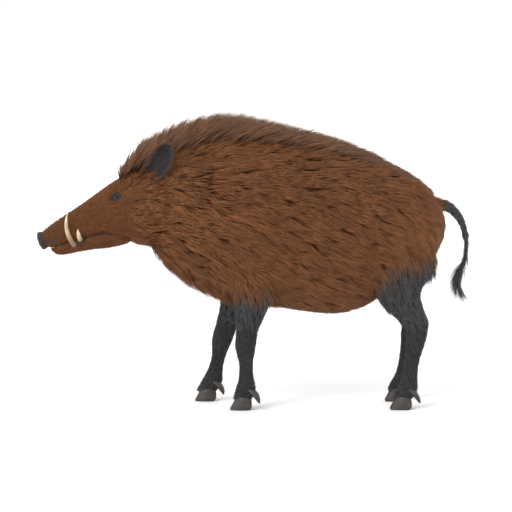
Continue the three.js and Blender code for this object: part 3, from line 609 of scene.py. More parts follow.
body = joined("body", body_pieces)
applied(body, "REMESH", mode="VOXEL", voxel_size=COARSE)
applied(body, "SMOOTH", iterations=8, factor=0.5)

# The face keeps its fine mesh, and the neck gives up most of its own.
back = face.vertex_groups.new(name="back")
head_x = to_head(places(face))[:, 0]
for low, weight in ((-50, 0.35), (130, 0.45), (340, 0.9), (420, 1.0)):
    back.add(np.nonzero(head_x > low)[0].tolist(), weight, "REPLACE")
applied(face, "DECIMATE", ratio=KEPT, vertex_group="back", vertex_group_factor=1.0)

FACE_SHELL, BODY_SHELL, EAR_SHELL, LID_SHELL = range(4)
shells = [(face, FACE_SHELL), (body, BODY_SHELL)]
for side, word in SIDES:
    rings, way = ear_rings(side)
    ear = limb(f"ear_{word}_form", from_head(rings), way @ HEAD_TURN.T, EAR_PART)
    applied(ear, "SUBSURF", levels=1, render_levels=1)
    shells += [(ear, EAR_SHELL), (rolled(f"lid_{word}", lid_rim(side), (MERGED, FACING_OUT)), LID_SHELL)]
for piece, number in shells:
    marked(piece, shell=np.full(len(piece.data.vertices), number))
skin = smooth(joined("hide", [piece for piece, _ in shells]))
applied(skin, "TRIANGULATE")

# An unwrap of the hide gives the root of each tuft its place on the coat's OFBake maps.
UNWRAP = dict(angle_limit=1.15, island_margin=0.001, scale_to_bounds=True)
worked(skin, (bpy.ops.uv.smart_project, UNWRAP))

corners = held(skin.data.loops, "vertex_index", 1, np.int32).reshape(-1, 3)
unwrap = held(skin.data.uv_layers.active.data, "uv", 2).reshape(-1, 3, 2)
shell = held(skin.data.attributes["shell"].data, "value", 1, np.float32)[:, 0]
hide_co, hide_out = places(skin), normals(skin)
hide_tree = BVHTree.FromPolygons(hide_co.tolist(), corners.tolist())


def mid(values):
    """The mean of a field over each triangle's corners."""
    return values[corners].mean(axis=1)


def evened(values, rounds):
    """Values of the hide's vertices, each drawn towards its neighbours' a few times over."""
    ends = np.concatenate([corners[:, [0, 1]], corners[:, [1, 2]], corners[:, [2, 0]]])
    share = np.bincount(ends[:, 0], minlength=len(values)) + 1e-9
    flat = values.reshape(len(values), -1)
    for _ in range(rounds):
        drawn = [np.bincount(ends[:, 0], column[ends[:, 1]], len(values)) for column in flat.T]
        flat = 0.5 * flat + 0.5 * np.stack(drawn, axis=1) / share[:, None]
    return flat.reshape(values.shape)


# ---- Where and how the coat grows ----

guides, guide_kind = np.concatenate(guide_points), np.concatenate(guide_kinds)
nearest = np.zeros(len(hide_co), int)
for of_ear in (True, False):
    those = np.nonzero((guide_kind == EAR_PART) == of_ear)[0]
    mine = (shell == EAR_SHELL) == of_ear
    nearest[mine] = those[closest(guides[those], hide_co[mine])]
kind = np.where(shell == LID_SHELL, FACE, guide_kind[nearest])
way_along = np.concatenate(guide_ways)[nearest]
BELLY_MIDDLE = 1000  # between the fore and the hind legs
X, Y, Z = (hide_co * 1000 + (BODY_MIDDLE, 0, 0)).T
head_co = to_head(hide_co)
HX, HY, HZ = head_co.T


def chosen(*values):
    """Each vertex's number by its kind, in the order body, face, leg, tail, ear and nose."""
    return np.choose(kind, values)


leg_hair = np.interp(Z, [40, 70, 130, 230, 300, 400, 520], [14, 14, 14, 17, 25, 44, 58])
leg_hair = leg_hair * (1 + 0.5 * smoothstep(Z, 50, 80) * fade(Z, 90, 120) * (hide_out[:, 0] > 0.3))
body_hair = np.interp(X, [380, 470, 600, 1180, 1330, 1411], [50, 64, 74, 72, 60, 36])
body_hair = body_hair * (1 - 0.25 * fade(Z, 350, 430))
face_hair = np.interp(HX, [18, 60, 150, 240, 300, 350, 420, 500], [8, 11, 13, 15, 21, 38, 56, 62])
face_hair = face_hair * (1 - 0.35 * smoothstep(HZ, 20, 80) * fade(HX, 330, 420))
face_hair = face_hair * (1 + 0.7 * fade(HZ, -80, -50) * smoothstep(HX, 60, 180))  # beard
tail_hair = np.interp(Z, [380, 500, 540, 640, 700], [72, 66, 22, 16, 24])
# How long the tufts are, how wide, how many times over they cover the hide and how far they stand up.
hair = chosen(body_hair, face_hair, leg_hair, tail_hair, 16.0, 5.0)
face_wide = np.interp(hair, [8, 20, 30, 50], [0.9, 1.15, 1.9, 2.8])
leg_wide = np.interp(hair, [12, 26, 44], [1.3, 1.8, 2.9])
wide = chosen(3.0, face_wide, leg_wide, 1.5, 1.1, 1.2)
face_cover = np.interp(HX, [20, 60, 240, 340], [1.6, 2.5, 3.4, 4.2])
leg_cover = np.interp(Z, [60, 300, 420], [2.6, 2.8, 3.6])
cover = chosen(5.4, face_cover, leg_cover, 3.2, 2.6, 0.0)
face_stand = np.minimum(1.5 + 0.2 * hair, 15)
leg_stand = np.interp(hair, [14, 26, 44], [3.8, 6.5, 11])
stand = chosen(0.36 * hair, face_stand, leg_stand, 2.5 + 0.17 * hair, 1.0 + 0.2 * hair, 1.0)

# A longer, looser ruff under the throat.
throat = smoothstep(-hide_out[:, 2], 0.2, 0.8) * smoothstep(X, 350, 430) * fade(X, 600, 700)
throat = throat * (kind < LEG)
hair, stand = hair * (1 + 0.4 * throat), stand * (1 + 0.7 * throat)

# Which way the tufts lie: back, and down over flank, haunch and cheek.
back_way = np.ones(len(X))
haunch, flank = smoothstep(X, 1080, 1320), smoothstep(880 - Z, 0, 220)
body_lie = np.stack([back_way, 0.05 * np.sign(Y), -flank * (0.38 + 0.5 * haunch)], axis=1)
cheek = smoothstep(HX, 230, 380) * fade(HZ, -40, 50)
face_lie = np.stack([back_way, 0.25 * cheek * np.sign(Y), -0.5 * cheek], axis=1) @ HEAD_TURN.T
leg_lie = way_along + (0.28, 0, 0)
lie = np.choose(kind[:, None], (body_lie, face_lie, leg_lie, way_along, way_along, face_lie))

ears = kind == EAR_PART
ear_along, ear_inside = np.zeros(len(X)), np.zeros(len(X))
for side in (LEFT, RIGHT):
    length, mouth = ear_axes(side)
    reach = (head_co - EAR_AT * (1, side, 1)) @ length
    own = ears & (HY * side > 0)
    ear_along = np.where(own, reach, ear_along)
    ear_inside = np.where(own, smoothstep((hide_out @ HEAD_TURN) @ mouth, -0.05, 0.45), ear_inside)

# Dark legs, ears and tail; the rest is brown.
sock = np.where(X > BELLY_MIDDLE, np.interp(X, [1146, 1325], [490, 538]), 412)
ragged = 14 * np.sin(X * 0.09) + 10 * np.sin(X * 0.23 + Y * 0.1)
leg_mark, tail_mark = smoothstep(sock - Z + ragged, -25, 35), smoothstep(X, 1375, 1425)
mark = evened(chosen(0.0, 0.0, leg_mark, tail_mark, smoothstep(ear_along, -16, 22), 0.5), 6)
fields = evened(np.column_stack([hair, wide, cover, stand]), 10)
hair, wide, cover, stand = fields.T
lie = unit(np.where(ears[:, None], lie, evened(lie, 12)))

# Round each eye, and along the lips, the skin is dark and nearly bare.
oval = np.full(len(X), 9.0)
for middle, back, up, outward in EYES.values():
    near = head_co - middle
    around = np.sqrt((near @ back / 17) ** 2 + (near @ up / 12) ** 2 + (near @ outward / 30) ** 2)
    oval = np.minimum(oval, around)
line = np.interp(HX, MOUTH[:, 0], MOUTH[:, 1])
lips = (kind == FACE) * (HX < 238) * hill((HZ - line, 3.2))
mark = np.maximum(mark, 0.85 * fade(oval, 1.05, 1.55))
collar = np.min([np.hypot(HX - at_x, HZ - at_z) for at_x, at_z, _ in TUSK_ROOTS], axis=0)
collar = collar + 99 * (np.abs(HY) < 25)
nostrils = np.hypot(np.abs(HY) - NOSTRIL[0], HZ - NOSTRIL[1]) < 13
bare = np.max(
    [
        evened((kind == NOSE) * fade(HX, 13, 17), 1),
        shell == LID_SHELL,
        ~ears * fade(HX, 24, 30) * nostrils,
        fade(oval, 0.95, 1.25),
        smoothstep(lips, 0.3, 0.7),
        (kind == FACE) * fade(collar, 12, 16),
        0.5 * ear_inside * smoothstep(ear_along, 0, 40),
    ],
    axis=0,
)

# No hair on the disc, the lids' edge, in the mouth, on the soles' side of the crown or where shells meet.
FINE_END, COARSE_START = 604, 586  # the hair of the two skins passes over from one to the other
grows = (1 - bare * ~ears) * smoothstep(oval, 0.9, 1.25) * (1 - lips)
for bald in (
    (kind == LEG) * (Z < HOOF_HEIGHT - 2),
    (shell == FACE_SHELL) * (kind == BODY) * (X > FINE_END),
    (shell == BODY_SHELL) * (kind == BODY) * (X < COARSE_START),
    ears * (ear_along < -28),
    0.72 * ear_inside,
):
    grows *= 1 - bald
marked(skin, mark=mark, bare=bare)

# ---- Tufts ----

EDGE = np.array([(-0.5, 0.0), (0.5, 0.0), (0.0, 1.0)])  # a tuft's ring: its two edges and its crown
PATCH = 0.003  # how wide and long a tuft's patch of the OFBake map is
ROOT_DEPTH = 0.0025  # how deep a root may be sunk into the hide


def woven(name, paths, out, width, thick, run, uv, marks):
    """Tufts joined into one mesh. paths holds each tuft's ring centres and then its tip, and width and
    thick a number for each ring. Each tuft is a small patch of the OFBake map at its root's place."""
    count, rings = paths.shape[0], paths.shape[1] - 1
    way = unit(np.diff(paths, axis=1))
    across = unit(np.cross(way, out[:, None]))
    crown = np.cross(across, way)
    edges = across[:, :, None] * (EDGE[:, :1] * width[:, :, None, None])
    crowns = crown[:, :, None] * (EDGE[:, 1:] * thick[:, :, None, None])
    points = paths[:, :-1, None] + edges + crowns
    points = np.concatenate([points.reshape(count, rings * 3, 3), paths[:, -1:]], axis=1)
    size = rings * 3 + 1
    faces = [(0, 1, 2)]
    for i in range(rings - 1):
        for j in range(3):
            a, b = 3 * i + j, 3 * i + (j + 1) % 3
            faces += [(a, a + 3, b), (b, a + 3, b + 3)]
    top = 3 * (rings - 1)
    faces += [(top + j, size - 1, top + (j + 1) % 3) for j in range(3)]
    faces = np.array(faces)
    total = (faces[None] + (np.arange(count) * size)[:, None, None]).reshape(-1, 3)
    mesh = bpy.data.meshes.new(name)
    mesh.vertices.add(count * size)
    mesh.vertices.foreach_set("co", points.astype(np.float32).ravel())
    mesh.loops.add(len(total) * 3)
    mesh.loops.foreach_set("vertex_index", total.astype(np.int32).ravel())
    mesh.polygons.add(len(total))
    mesh.polygons.foreach_set("loop_start", np.arange(0, len(total) * 3, 3, dtype=np.int32))
    mesh.polygons.foreach_set("use_smooth", np.ones(len(total), bool))
    piece = bpy.data.objects.new(name, mesh)
    bpy.context.scene.collection.objects.link(piece)
    ring_run = np.append(np.repeat(run[:-1], 3), run[-1])
    beside = np.append(np.tile([-0.5, 0.5, 0.0], rings), 0.0)
    spot = uv[:, None] + PATCH * np.stack([beside, ring_run - 0.5], axis=1)[None]
    layer = mesh.uv_layers.new(name="OFBake")
    layer.data.foreach_set("uv", spot.reshape(-1, 2)[total.ravel()].astype(np.float32).ravel())
    marks = {key: np.repeat(value, size) for key, value in marks.items()}
    marked(piece, run=np.tile(ring_run, count), **marks)
    mesh.update(calc_edges=True)
    mesh.validate()
    return piece


first, second, third = (hide_co[corners[:, i]] for i in range(3))
areas = np.linalg.norm(np.cross(second - first, third - first), axis=1) * 5e5  # square millimetres


class Roots:
    """Places on the hide where tufts grow, with the fields there."""

    def __init__(self, weight):
        """weight is how many tufts grow on each triangle, on average."""
        reach = np.concatenate([[0], np.cumsum(weight)])
        spots = np.arange(int(reach[-1])) + rng.random(int(reach[-1]))
        spots = spots[spots < reach[-1]]
        face = np.searchsorted(reach, spots, side="right") - 1
        a, b = rng.random((2, len(face)))
        flip = a + b > 1
        a, b = np.where(flip, 1 - a, a), np.where(flip, 1 - b, b)
        self.face, self.share = face, np.column_stack([1 - a - b, a, b])
        self.co, self.out, self.lie = self.of(hide_co), unit(self.of(hide_out)), self.of(lie)
        self.lie = unit(self.lie - self.out * np.sum(self.lie * self.out, axis=1, keepdims=True))
        self.uv = np.sum(unwrap[face] * self.share[:, :, None], axis=1)

    def of(self, values):
        values = values[corners[self.face]]
        return np.sum(values * (self.share if values.ndim == 2 else self.share[:, :, None]), axis=1)


def turned(vectors, axes, angle):
    """Vectors turned about axes that are square to them."""
    return vectors * np.cos(angle)[:, None] + np.cross(axes, vectors) * np.sin(angle)[:, None]


def lying(points, heights):
    """Points brought to their heights over the hide, as bristles hug it."""
    found = [hide_tree.find_nearest(point) for point in points.tolist()]
    foot = np.array([hit[0] for hit in found])
    out = np.array([hit[1] for hit in found])
    return foot + out * heights[:, None]


def tufts(name, where, clump, gather, hug=False, short=False, paler=0.0):
    """A coat piece on the chosen triangles. Roots within about a clump's width, in millimetres, lean
    together into a lock, the more the larger gather is. Short hair runs straight from root to tip."""
    weight = areas * where * 2 * mid(cover * grows) / (mid(wide) * mid(hair))
    roots = Roots(weight)
    count = len(roots.co)
    length, width, rise = roots.of(hair), roots.of(wide), roots.of(stand)
    seeds = Roots(areas * where * (mid(grows) > 0.3) / clump**2)
    locks = len(seeds.co)
    mine = closest(seeds.co, roots.co)
    lock_turn, lock_long = rng.normal(0, 0.16, locks), rng.uniform(0.86, 1.12, locks)
    lock_tone = rng.random(locks)
    length = length * rng.uniform(0.72, 1.12, count) * lock_long[mine] / 1000
    rise = rise * rng.uniform(0.45, 1.2, count) / 1000
    width = width * rng.uniform(0.7, 1.15, count) / 1000
    way = turned(roots.lie, roots.out, lock_turn[mine] + rng.normal(0, 0.09, count))
    to_seed = seeds.co[mine] - roots.co
    to_seed -= roots.out * np.sum(to_seed * roots.out, axis=1, keepdims=True)
    gather = gather * rng.uniform(0.5, 1.15, count)[:, None]
    sunk = roots.co - roots.out * np.minimum(ROOT_DEPTH, width)[:, None]
    middle = roots.co + way * (0.42 * length)[:, None] + to_seed * gather * 0.45
    tip = roots.co + way * length[:, None] + to_seed * gather
    if hug:
        middle, tip = lying(middle, rise * 0.62), lying(tip, rise)
    else:
        middle, tip = middle + roots.out * (rise * 0.62)[:, None], tip + roots.out * rise[:, None]
    paths = np.stack([sunk, tip] if short else [sunk, middle, tip], axis=1)
    run = np.array([0, 1] if short else [0, 0.45, 1])
    face_out = turned(roots.out, way, rng.normal(0, 0.35, count))
    widths = width[:, None] if short else np.column_stack([0.6 * width, width])
    tone = 0.62 * rng.random(count) + 0.38 * lock_tone[mine] + paler
    marks = dict(mark=roots.of(mark), tone=tone)
    return woven(name, paths, face_out, widths, widths * (0.5 if short else 0.34), run, roots.uv, marks)


SHORT, HUGGING = dict(short=True), dict(hug=True)
BODY_CUTS = [300, 640, 800, 960, 1120, 1270, 1500]
SNOUT_END, BROW_END, SHIN_TOP = 190, 330, 290
mid_x, mid_z, mid_hx = mid(X), mid(Z), mid(HX)
on_body, on_face, on_leg, on_tail, on_ear = (
    mid(kind == part) > 0.5 for part in (BODY, FACE, LEG, TAIL_PART, EAR_PART)
)
brow = on_face & (mid_hx >= SNOUT_END) & (mid_hx < BROW_END)
fore, shin = mid_x < BELLY_MIDDLE, mid_z < SHIN_TOP
# Each piece: where it grows, the width of its locks and how much they gather.
coat_rows = [
    (f"body_{i}", on_body & (mid_x >= low) & (mid_x < high), 26, 0.52, HUGGING)
    for i, (low, high) in enumerate(zip(BODY_CUTS, BODY_CUTS[1:]), 1)
]
coat_rows += [
    ("snout", on_face & (mid_hx < SNOUT_END), 7, 0.16, SHORT | dict(paler=0.25)),
    ("brow", brow, 9, 0.24, SHORT | dict(paler=0.25)),
    ("cheeks", on_face & (mid_hx >= BROW_END), 20, 0.55, HUGGING),
    ("fore_shins", on_leg & fore & shin, 11, 0.3, SHORT),
    ("hind_shins", on_leg & ~fore & shin, 11, 0.3, SHORT),
    ("forearms", on_leg & fore & ~shin, 15, 0.5, {}),
    ("hams", on_leg & ~fore & ~shin, 15, 0.5, {}),
    ("tail", on_tail, 8, 0.5, {}),
    ("ears", on_ear, 8, 0.25, SHORT),
]
coat = [tufts(f"coat_{name}", where, clump, gather, **how) for name, where, clump, gather, how in coat_rows]


def struck(starts, aims):
    """Where lines from starts along aims meet the hide, all in metres."""
    return np.array([hide_tree.ray_cast(start, aim)[0] for start, aim in zip(starts.tolist(), aims)])


def strands(root, way, length, bend, sunk, near, far, ease):
    """Four points along each hair, from its sunk root to its tip. Most of its bend is near the tip."""
    paths = [root - way * sunk, root + way * length * near]
    paths += [root + (way + bend * ease) * length * far, root + (way + bend) * length]
    return np.stack(paths, axis=1)


def bristles(name, paths, out, width, run, tone, dark):
    """Long bristles of three rings and a tip, given whole, with the unwrap's place under their roots."""
    widths = width[:, None] * np.array([0.7, 1.0, 0.75])
    under = [hide_tree.find_nearest(root)[2] for root in paths[:, 0].tolist()]
    marks = dict(mark=np.full(len(paths), dark), tone=tone)
    return woven(name, paths, out, widths, widths * 0.4, run, unwrap[under].mean(axis=1), marks)


MANE_COUNT, MANE_STEP = 12000, 30  # its bristles, and how far apart its locks stand
MANE_LOCKS = (3, 60)  # files of locks, and locks in a file
ABOVE = 1200.0  # higher than the boar


def ground(x, y):
    """How high the hide is at each place, seen from above."""
    above = world(np.column_stack([x, y, np.full(len(x), ABOVE)]))
    return struck(above, [(0, 0, -1)] * len(x))[:, 2] * 1000


def mane(count):
    """The mane's bristles stand along the back in pointed locks and lean over backwards."""
    x = rng.uniform(286, 1320, count)
    y = rng.normal(0, 12, count)
    file = np.round(np.clip(y / 11, -1, 1)).astype(int)
    cell = np.round(x / MANE_STEP + file * 0.37).astype(int)
    lock = (cell - file * 0.37) * MANE_STEP + rng.normal(0, 5, MANE_LOCKS)[file + 1, cell]
    file = file * 7 + rng.normal(0, 6, MANE_LOCKS)[file + 1, cell]
    foot, rise, lean = (np.interp(x, MANE[:, 0], MANE[:, i]) for i in (1, 2, 3))
    root = ground(x, y)
    top = foot + rise * (1 - 0.2 * np.abs(y) / 14) * rng.uniform(0.62, 1.03, count) - root
    top = np.minimum(top, np.interp(x, [1150, 1230, 1320], [160, 56, 20]) * rng.uniform(0.7, 1.1, count))
    lean = lean * rng.uniform(0.75, 1.2, count)
    drop = np.clip(ground(x + lean, y) - root, -60, 0)
    stray_x, stray_y = rng.normal(0, 5, count), rng.normal(0, 5, count)
    paths = []
    for s in (-0.05, 0.32, 0.66, 1.0):
        up = max(s, 0)
        pull = 0.7 * up**1.3
        px = x + lean * up**1.7 + (lock - x) * pull + stray_x * up
        py = y * (1 + 0.9 * s) + (file * (1 + 0.9 * s) - y) * pull * 0.45 + stray_y * up
        pz = root + drop * up**1.7 + top * np.sign(s) * abs(s) ** 0.92
        paths.append(world(np.column_stack([px, py, pz])))
    out = unit(np.column_stack([rng.normal(0, 0.5, count), np.where(rng.random(count) > 0.5, 1, -1), 0 * x]))
    tone = 0.7 * rng.random(count) + 0.3 * rng.random(MANE_LOCKS)[0, cell]
    width = rng.uniform(2.0, 3.2, count) / 1000
    return bristles("coat_mane", np.stack(paths, axis=1), out, width, [0, 0.32, 0.66, 1], tone, 0.3)


coat.append(mane(MANE_COUNT))


FEELER_WIDTH, LASH_WIDTH = 0.00062, 0.0007


def whiskers():
    """Stiff feelers on the upper lip and chin, over the eyes, and the lashes of the upper lids."""
    feelers = []  # the start and way of the line that finds each root, how it points and how long it is
    for side in (LEFT, RIGHT):
        for _ in range(30):
            start = (rng.uniform(24, 70), side * 120, rng.uniform(-26, 2))
            way = (rng.uniform(-0.2, 0.25), side, rng.uniform(-0.9, -0.2))
            feelers.append((start, (0, -side, 0), way, rng.uniform(22, 46)))
        for _ in range(14):
            start = (rng.uniform(42, 96), side * rng.uniform(2, 18), -160)
            way = (rng.uniform(0, 0.6), side * rng.uniform(0.1, 0.7), -1)
            feelers.append((start, (0, 0, 1), way, rng.uniform(24, 52)))
        middle, back, up, outward = EYES[side]
        for _ in range(8):
            start = middle + back * rng.uniform(-14, 10) + up * rng.uniform(18, 26) + outward * 60
            way = outward * 0.8 + up * rng.uniform(0.4, 0.9) + back * rng.uniform(0.1, 0.9)
            feelers.append((start, -outward, way, rng.uniform(24, 40)))
    starts, aims, ways, lengths = (np.array(column, float) for column in zip(*feelers))
    root = struck(world(from_head(starts)), (aims @ HEAD_TURN.T).tolist())
    way = unit(ways) @ HEAD_TURN.T
    length = lengths[:, None] / 1000
    paths = strands(root, way, length, np.array([0, 0, -0.22]), 0.002, 0.35, 0.7, 0.45)
    lashes = []
    for side in (LEFT, RIGHT):
        middle, back, up, outward = EYES[side]
        for angle in np.linspace(0.55, math.pi - 0.3, 26) + rng.normal(0, 0.03, 26):
            a, b = LID_LONG * math.cos(angle), LID_HIGH * math.sin(angle)
            foot = middle + a * back + b * up + outward * (math.sqrt(EYE_RADIUS**2 - a * a - b * b) + 1.2)
            reach = rng.uniform(9, 13)
            fan = back * (0.5 * math.cos(angle) + 0.25)
            near = foot + (outward * 0.8 + fan * 0.5) * reach * 0.4
            far = foot + (outward * 0.9 + fan - up * 0.1) * reach * 0.75
            lashes.append([foot, near, far, foot + (outward + fan + up * 0.08) * reach])
    lashes = world(from_head(np.array(lashes)))
    paths = np.concatenate([paths, lashes])
    out = np.tile([0.0, 0.0, 1.0], (len(paths), 1))
    width = np.repeat([FEELER_WIDTH, LASH_WIDTH], [len(root), len(lashes)])
    return bristles("coat_whiskers", paths, out, width, [0, 0.35, 0.7, 1], rng.random(len(paths)), 0.9)


coat.append(whiskers())


def ear_fringe():
    """Long hairs from the front and hind edges of the ears, which lie over the opening of the cup."""
    roots, ways, longs = [], [], []
    for side in (LEFT, RIGHT):
        rings, way = ear_rings(side)
        inside = rings[:, EAR_ARC:]
        for edge, inner, count in ((0, 4, 420), (-1, -5, 300)):
            t = rng.uniform(7, len(rings) - 4, count)
            at = t.astype(int)
            foot = inside[at, edge] + (t - at)[:, None] * (inside[at + 1, edge] - inside[at, edge])
            over = unit(inside[at, inner] - inside[at, edge])
            outward = unit(rings[at].mean(axis=1) - foot)
            roots.append(foot)
            shares = ((0.5, 1.1), (0.1, 0.7), (-0.1, 0.4))
            along, inward, back = (rng.uniform(low, high, (count, 1)) for low, high in shares)
            ways.append(unit(way[at, EAR_ARC] * along + over * inward - outward * back))
            longs.append(np.interp(t, [6, 14, 30], [26, 22, 11]) * rng.uniform(0.6, 1.15, count))
    root, way, length = np.concatenate(roots), np.concatenate(ways), np.concatenate(longs)[:, None]
    bend = rng.normal(0, 0.16, root.shape)
    paths = world(from_head(strands(root, way, length, bend, 2, 0.4, 0.72, 0.5)))
    out = unit(rng.normal(0, 1, root.shape))
    width = rng.uniform(0.9, 1.5, len(root)) / 1000
    return bristles("coat_ear_fringe", paths, out, width, [0, 0.4, 0.7, 1], rng.random(len(root)), 0.6)


coat.append(ear_fringe())

# ---- Eyes, tusks, hooves ----


def eyeball(side, word):
    """A glossy ball with the bulge of its cornea, and for each vertex how near it is to the gaze."""
    middle, back, up, outward = EYES[side]
    bpy.ops.mesh.primitive_uv_sphere_add(segments=64, ring_count=48, radius=EYE_RADIUS / 1000)
    ball = named(f"eyeball_{word}")
    around = unit(places(ball))
    gaze = around[:, 2]
    swollen = EYE_RADIUS + 1.1 * smoothstep(gaze, 0.8, 0.97)
    local = around * swollen[:, None]
    place(ball, world(from_head(middle + local @ np.array([back, up, outward]))))
    marked(ball, gaze=gaze, level=around[:, 1], along=around[:, 0])
    worked(ball, FACING_OUT)
    return smooth(ball)


TUSKS = {  # the head's x, y and z and the radius, from the root to the tip
    "lower": (
        (118, 30, -58, 9), (110, 48, -42, 9), (106, 60, -12, 8),
        (110, 64, 22, 6), (122, 60, 50, 3.4), (130, 57, 60, 0.8),
    ),
    "upper": (
        (140, 34, -34, 8.5), (139, 52, -38, 8.5), (139, 63, -28, 7.5), (142, 66, -11, 5), (146, 65, -2, 1.6),
    ),
}
HOOF_ROWS = np.array([  # height, front, back and half width
    (0, -40, 16, 9.5), (0.8, -43, 21, 12.6), (3, -44.5, 27, 14.4), (12, -39.5, 31, 15.2),
    (24, -33, 31, 14.9), (34, -27.5, 28, 14.2), (40, -24.5, 24, 13.2), (45.5, -21.5, 18, 11),
])
CLAW_ROWS = (  # x, y, z and radius
    (10, 14, 74, 10), (30, 20, 64, 11.5), (45, 25, 49, 11),
    (53, 28, 36, 8), (57, 29.5, 27, 4.5), (58, 30, 24.5, 1.5),
)
TOE = 17.5  # from the foot's middle line to each half's


def tusk(name, rows, side):
    """A tusk that curves out of the lip and up, three-sided, its tip worn flat on the hind edge."""
    form = Form([dict(x=x, y=side * y, z=z, r=r) for x, y, z, r in rows])
    t = np.linspace(0, form.last, 56)
    middle, radius = form.centre(t), form.ring(t)["r"]
    along = unit(np.gradient(middle, axis=0))
    across = unit(np.array([1, 0, 0]) - along * along[:, :1])
    third = np.cross(along, across)
    angle = 2 * np.pi * np.arange(28) / 28
    shape = 1 + 0.1 * np.cos(3 * angle)[None]
    worn = smoothstep(t / form.last, 0.72, 0.95)[:, None]
    back = np.cos(angle)[None] * (1 - 0.55 * worn * (np.cos(angle) > 0))
    circle = back[..., None] * across[:, None] + np.sin(angle)[None, :, None] * third[:, None]
    rings = middle[:, None] + (radius[:, None] * shape)[..., None] * circle
    piece = rolled(name, world(from_head(rings)))
    away = np.linalg.norm(to_head(places(piece))[:, None] - middle[None], axis=2)
    marked(piece, run=t[np.argmin(away, axis=1)] / form.last)
    return smooth(piece)


def half_hoof(inward):
    """Half of a cloven hoof about its own middle, its toe to -X, flat towards the other half."""
    sides = 48
    angle = 2 * np.pi * np.arange(sides) / sides
    toe = np.maximum(-np.cos(angle), 0)
    flat = np.where(np.sin(angle) * inward > 0, 0.8, 1.06)
    outline = flat * (1 - 0.34 * toe**1.3) * np.sign(np.sin(angle)) * np.abs(np.sin(angle)) ** 0.78
    rings = []
    for t in np.linspace(0, len(HOOF_ROWS) - 1, 36):
        z, front, back, half = (np.interp(t, range(len(HOOF_ROWS)), column) for column in HOOF_ROWS.T)
        grown = 0.22 * math.sin(z * 1.3) * (z > 5)  # rings of growth
        x = (front + back) / 2 + ((back - front) / 2 + grown) * np.cos(angle)
        rings.append(np.column_stack([x, half * outline * (1 + grown / 14), np.full(sides, z)]))
    return np.array(rings)


def dewclaw(side):
    """A dewclaw's rings about the foot's middle: it hangs back and down from behind the fetlock."""
    rows = [dict(x=x, y=side * y, z=z, up=0.8 * r, down=0.8 * r, side=r) for x, y, z, r in CLAW_ROWS]
    return Form(rows, bends=True).hull(30, 28, 0)[0]


horn = []
for leg, (_, foot, y, step) in LEGS.items():
    own = np.sign(y)
    for word, at in (("inner", -own), ("outer", own)):
        hoof = rolled(f"hoof_{leg}_{word}", world(half_hoof(-at) + (foot - step, y + at * TOE, 0)))
        claw = rolled(f"claw_{leg}_{word}", world(dewclaw(at) + (foot - step, y, 0)))
        horn.append(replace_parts(smooth(hoof), f"{leg}_hoof_{word}"))
        horn.append(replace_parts(smooth(claw), f"{leg}_dewclaw_{word}"))
eyes, tusks = [], []
for side, word in SIDES:
    eyes.append(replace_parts(eyeball(side, word), f"eye_{word}"))
    for jaw, rows in TUSKS.items():
        tusks.append(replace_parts(tusk(f"{jaw}_tusk_{word}", rows, side), f"tusk_{jaw}_{word}"))

# ---- Finishes ----


class Wire:
    """A value that runs through a finish. Sums on wires add the Math nodes."""

    def __init__(self, finish, socket):
        self.finish, self.socket = finish, socket

    def maths(self, operation, *values):
        return self.finish.add("ShaderNodeMath", {"operation": operation}, *values)

    def __add__(self, other):
        return self.maths("ADD", self, other)

    def __sub__(self, other):
        return self.maths("SUBTRACT", self, other)

    def __rsub__(self, other):
        return self.maths("SUBTRACT", other, self)

    def __mul__(self, other):
        return self.maths("MULTIPLY", self, other)

    def __pow__(self, other):
        return self.maths("POWER", self, other)

    __radd__, __rmul__ = __add__, __mul__


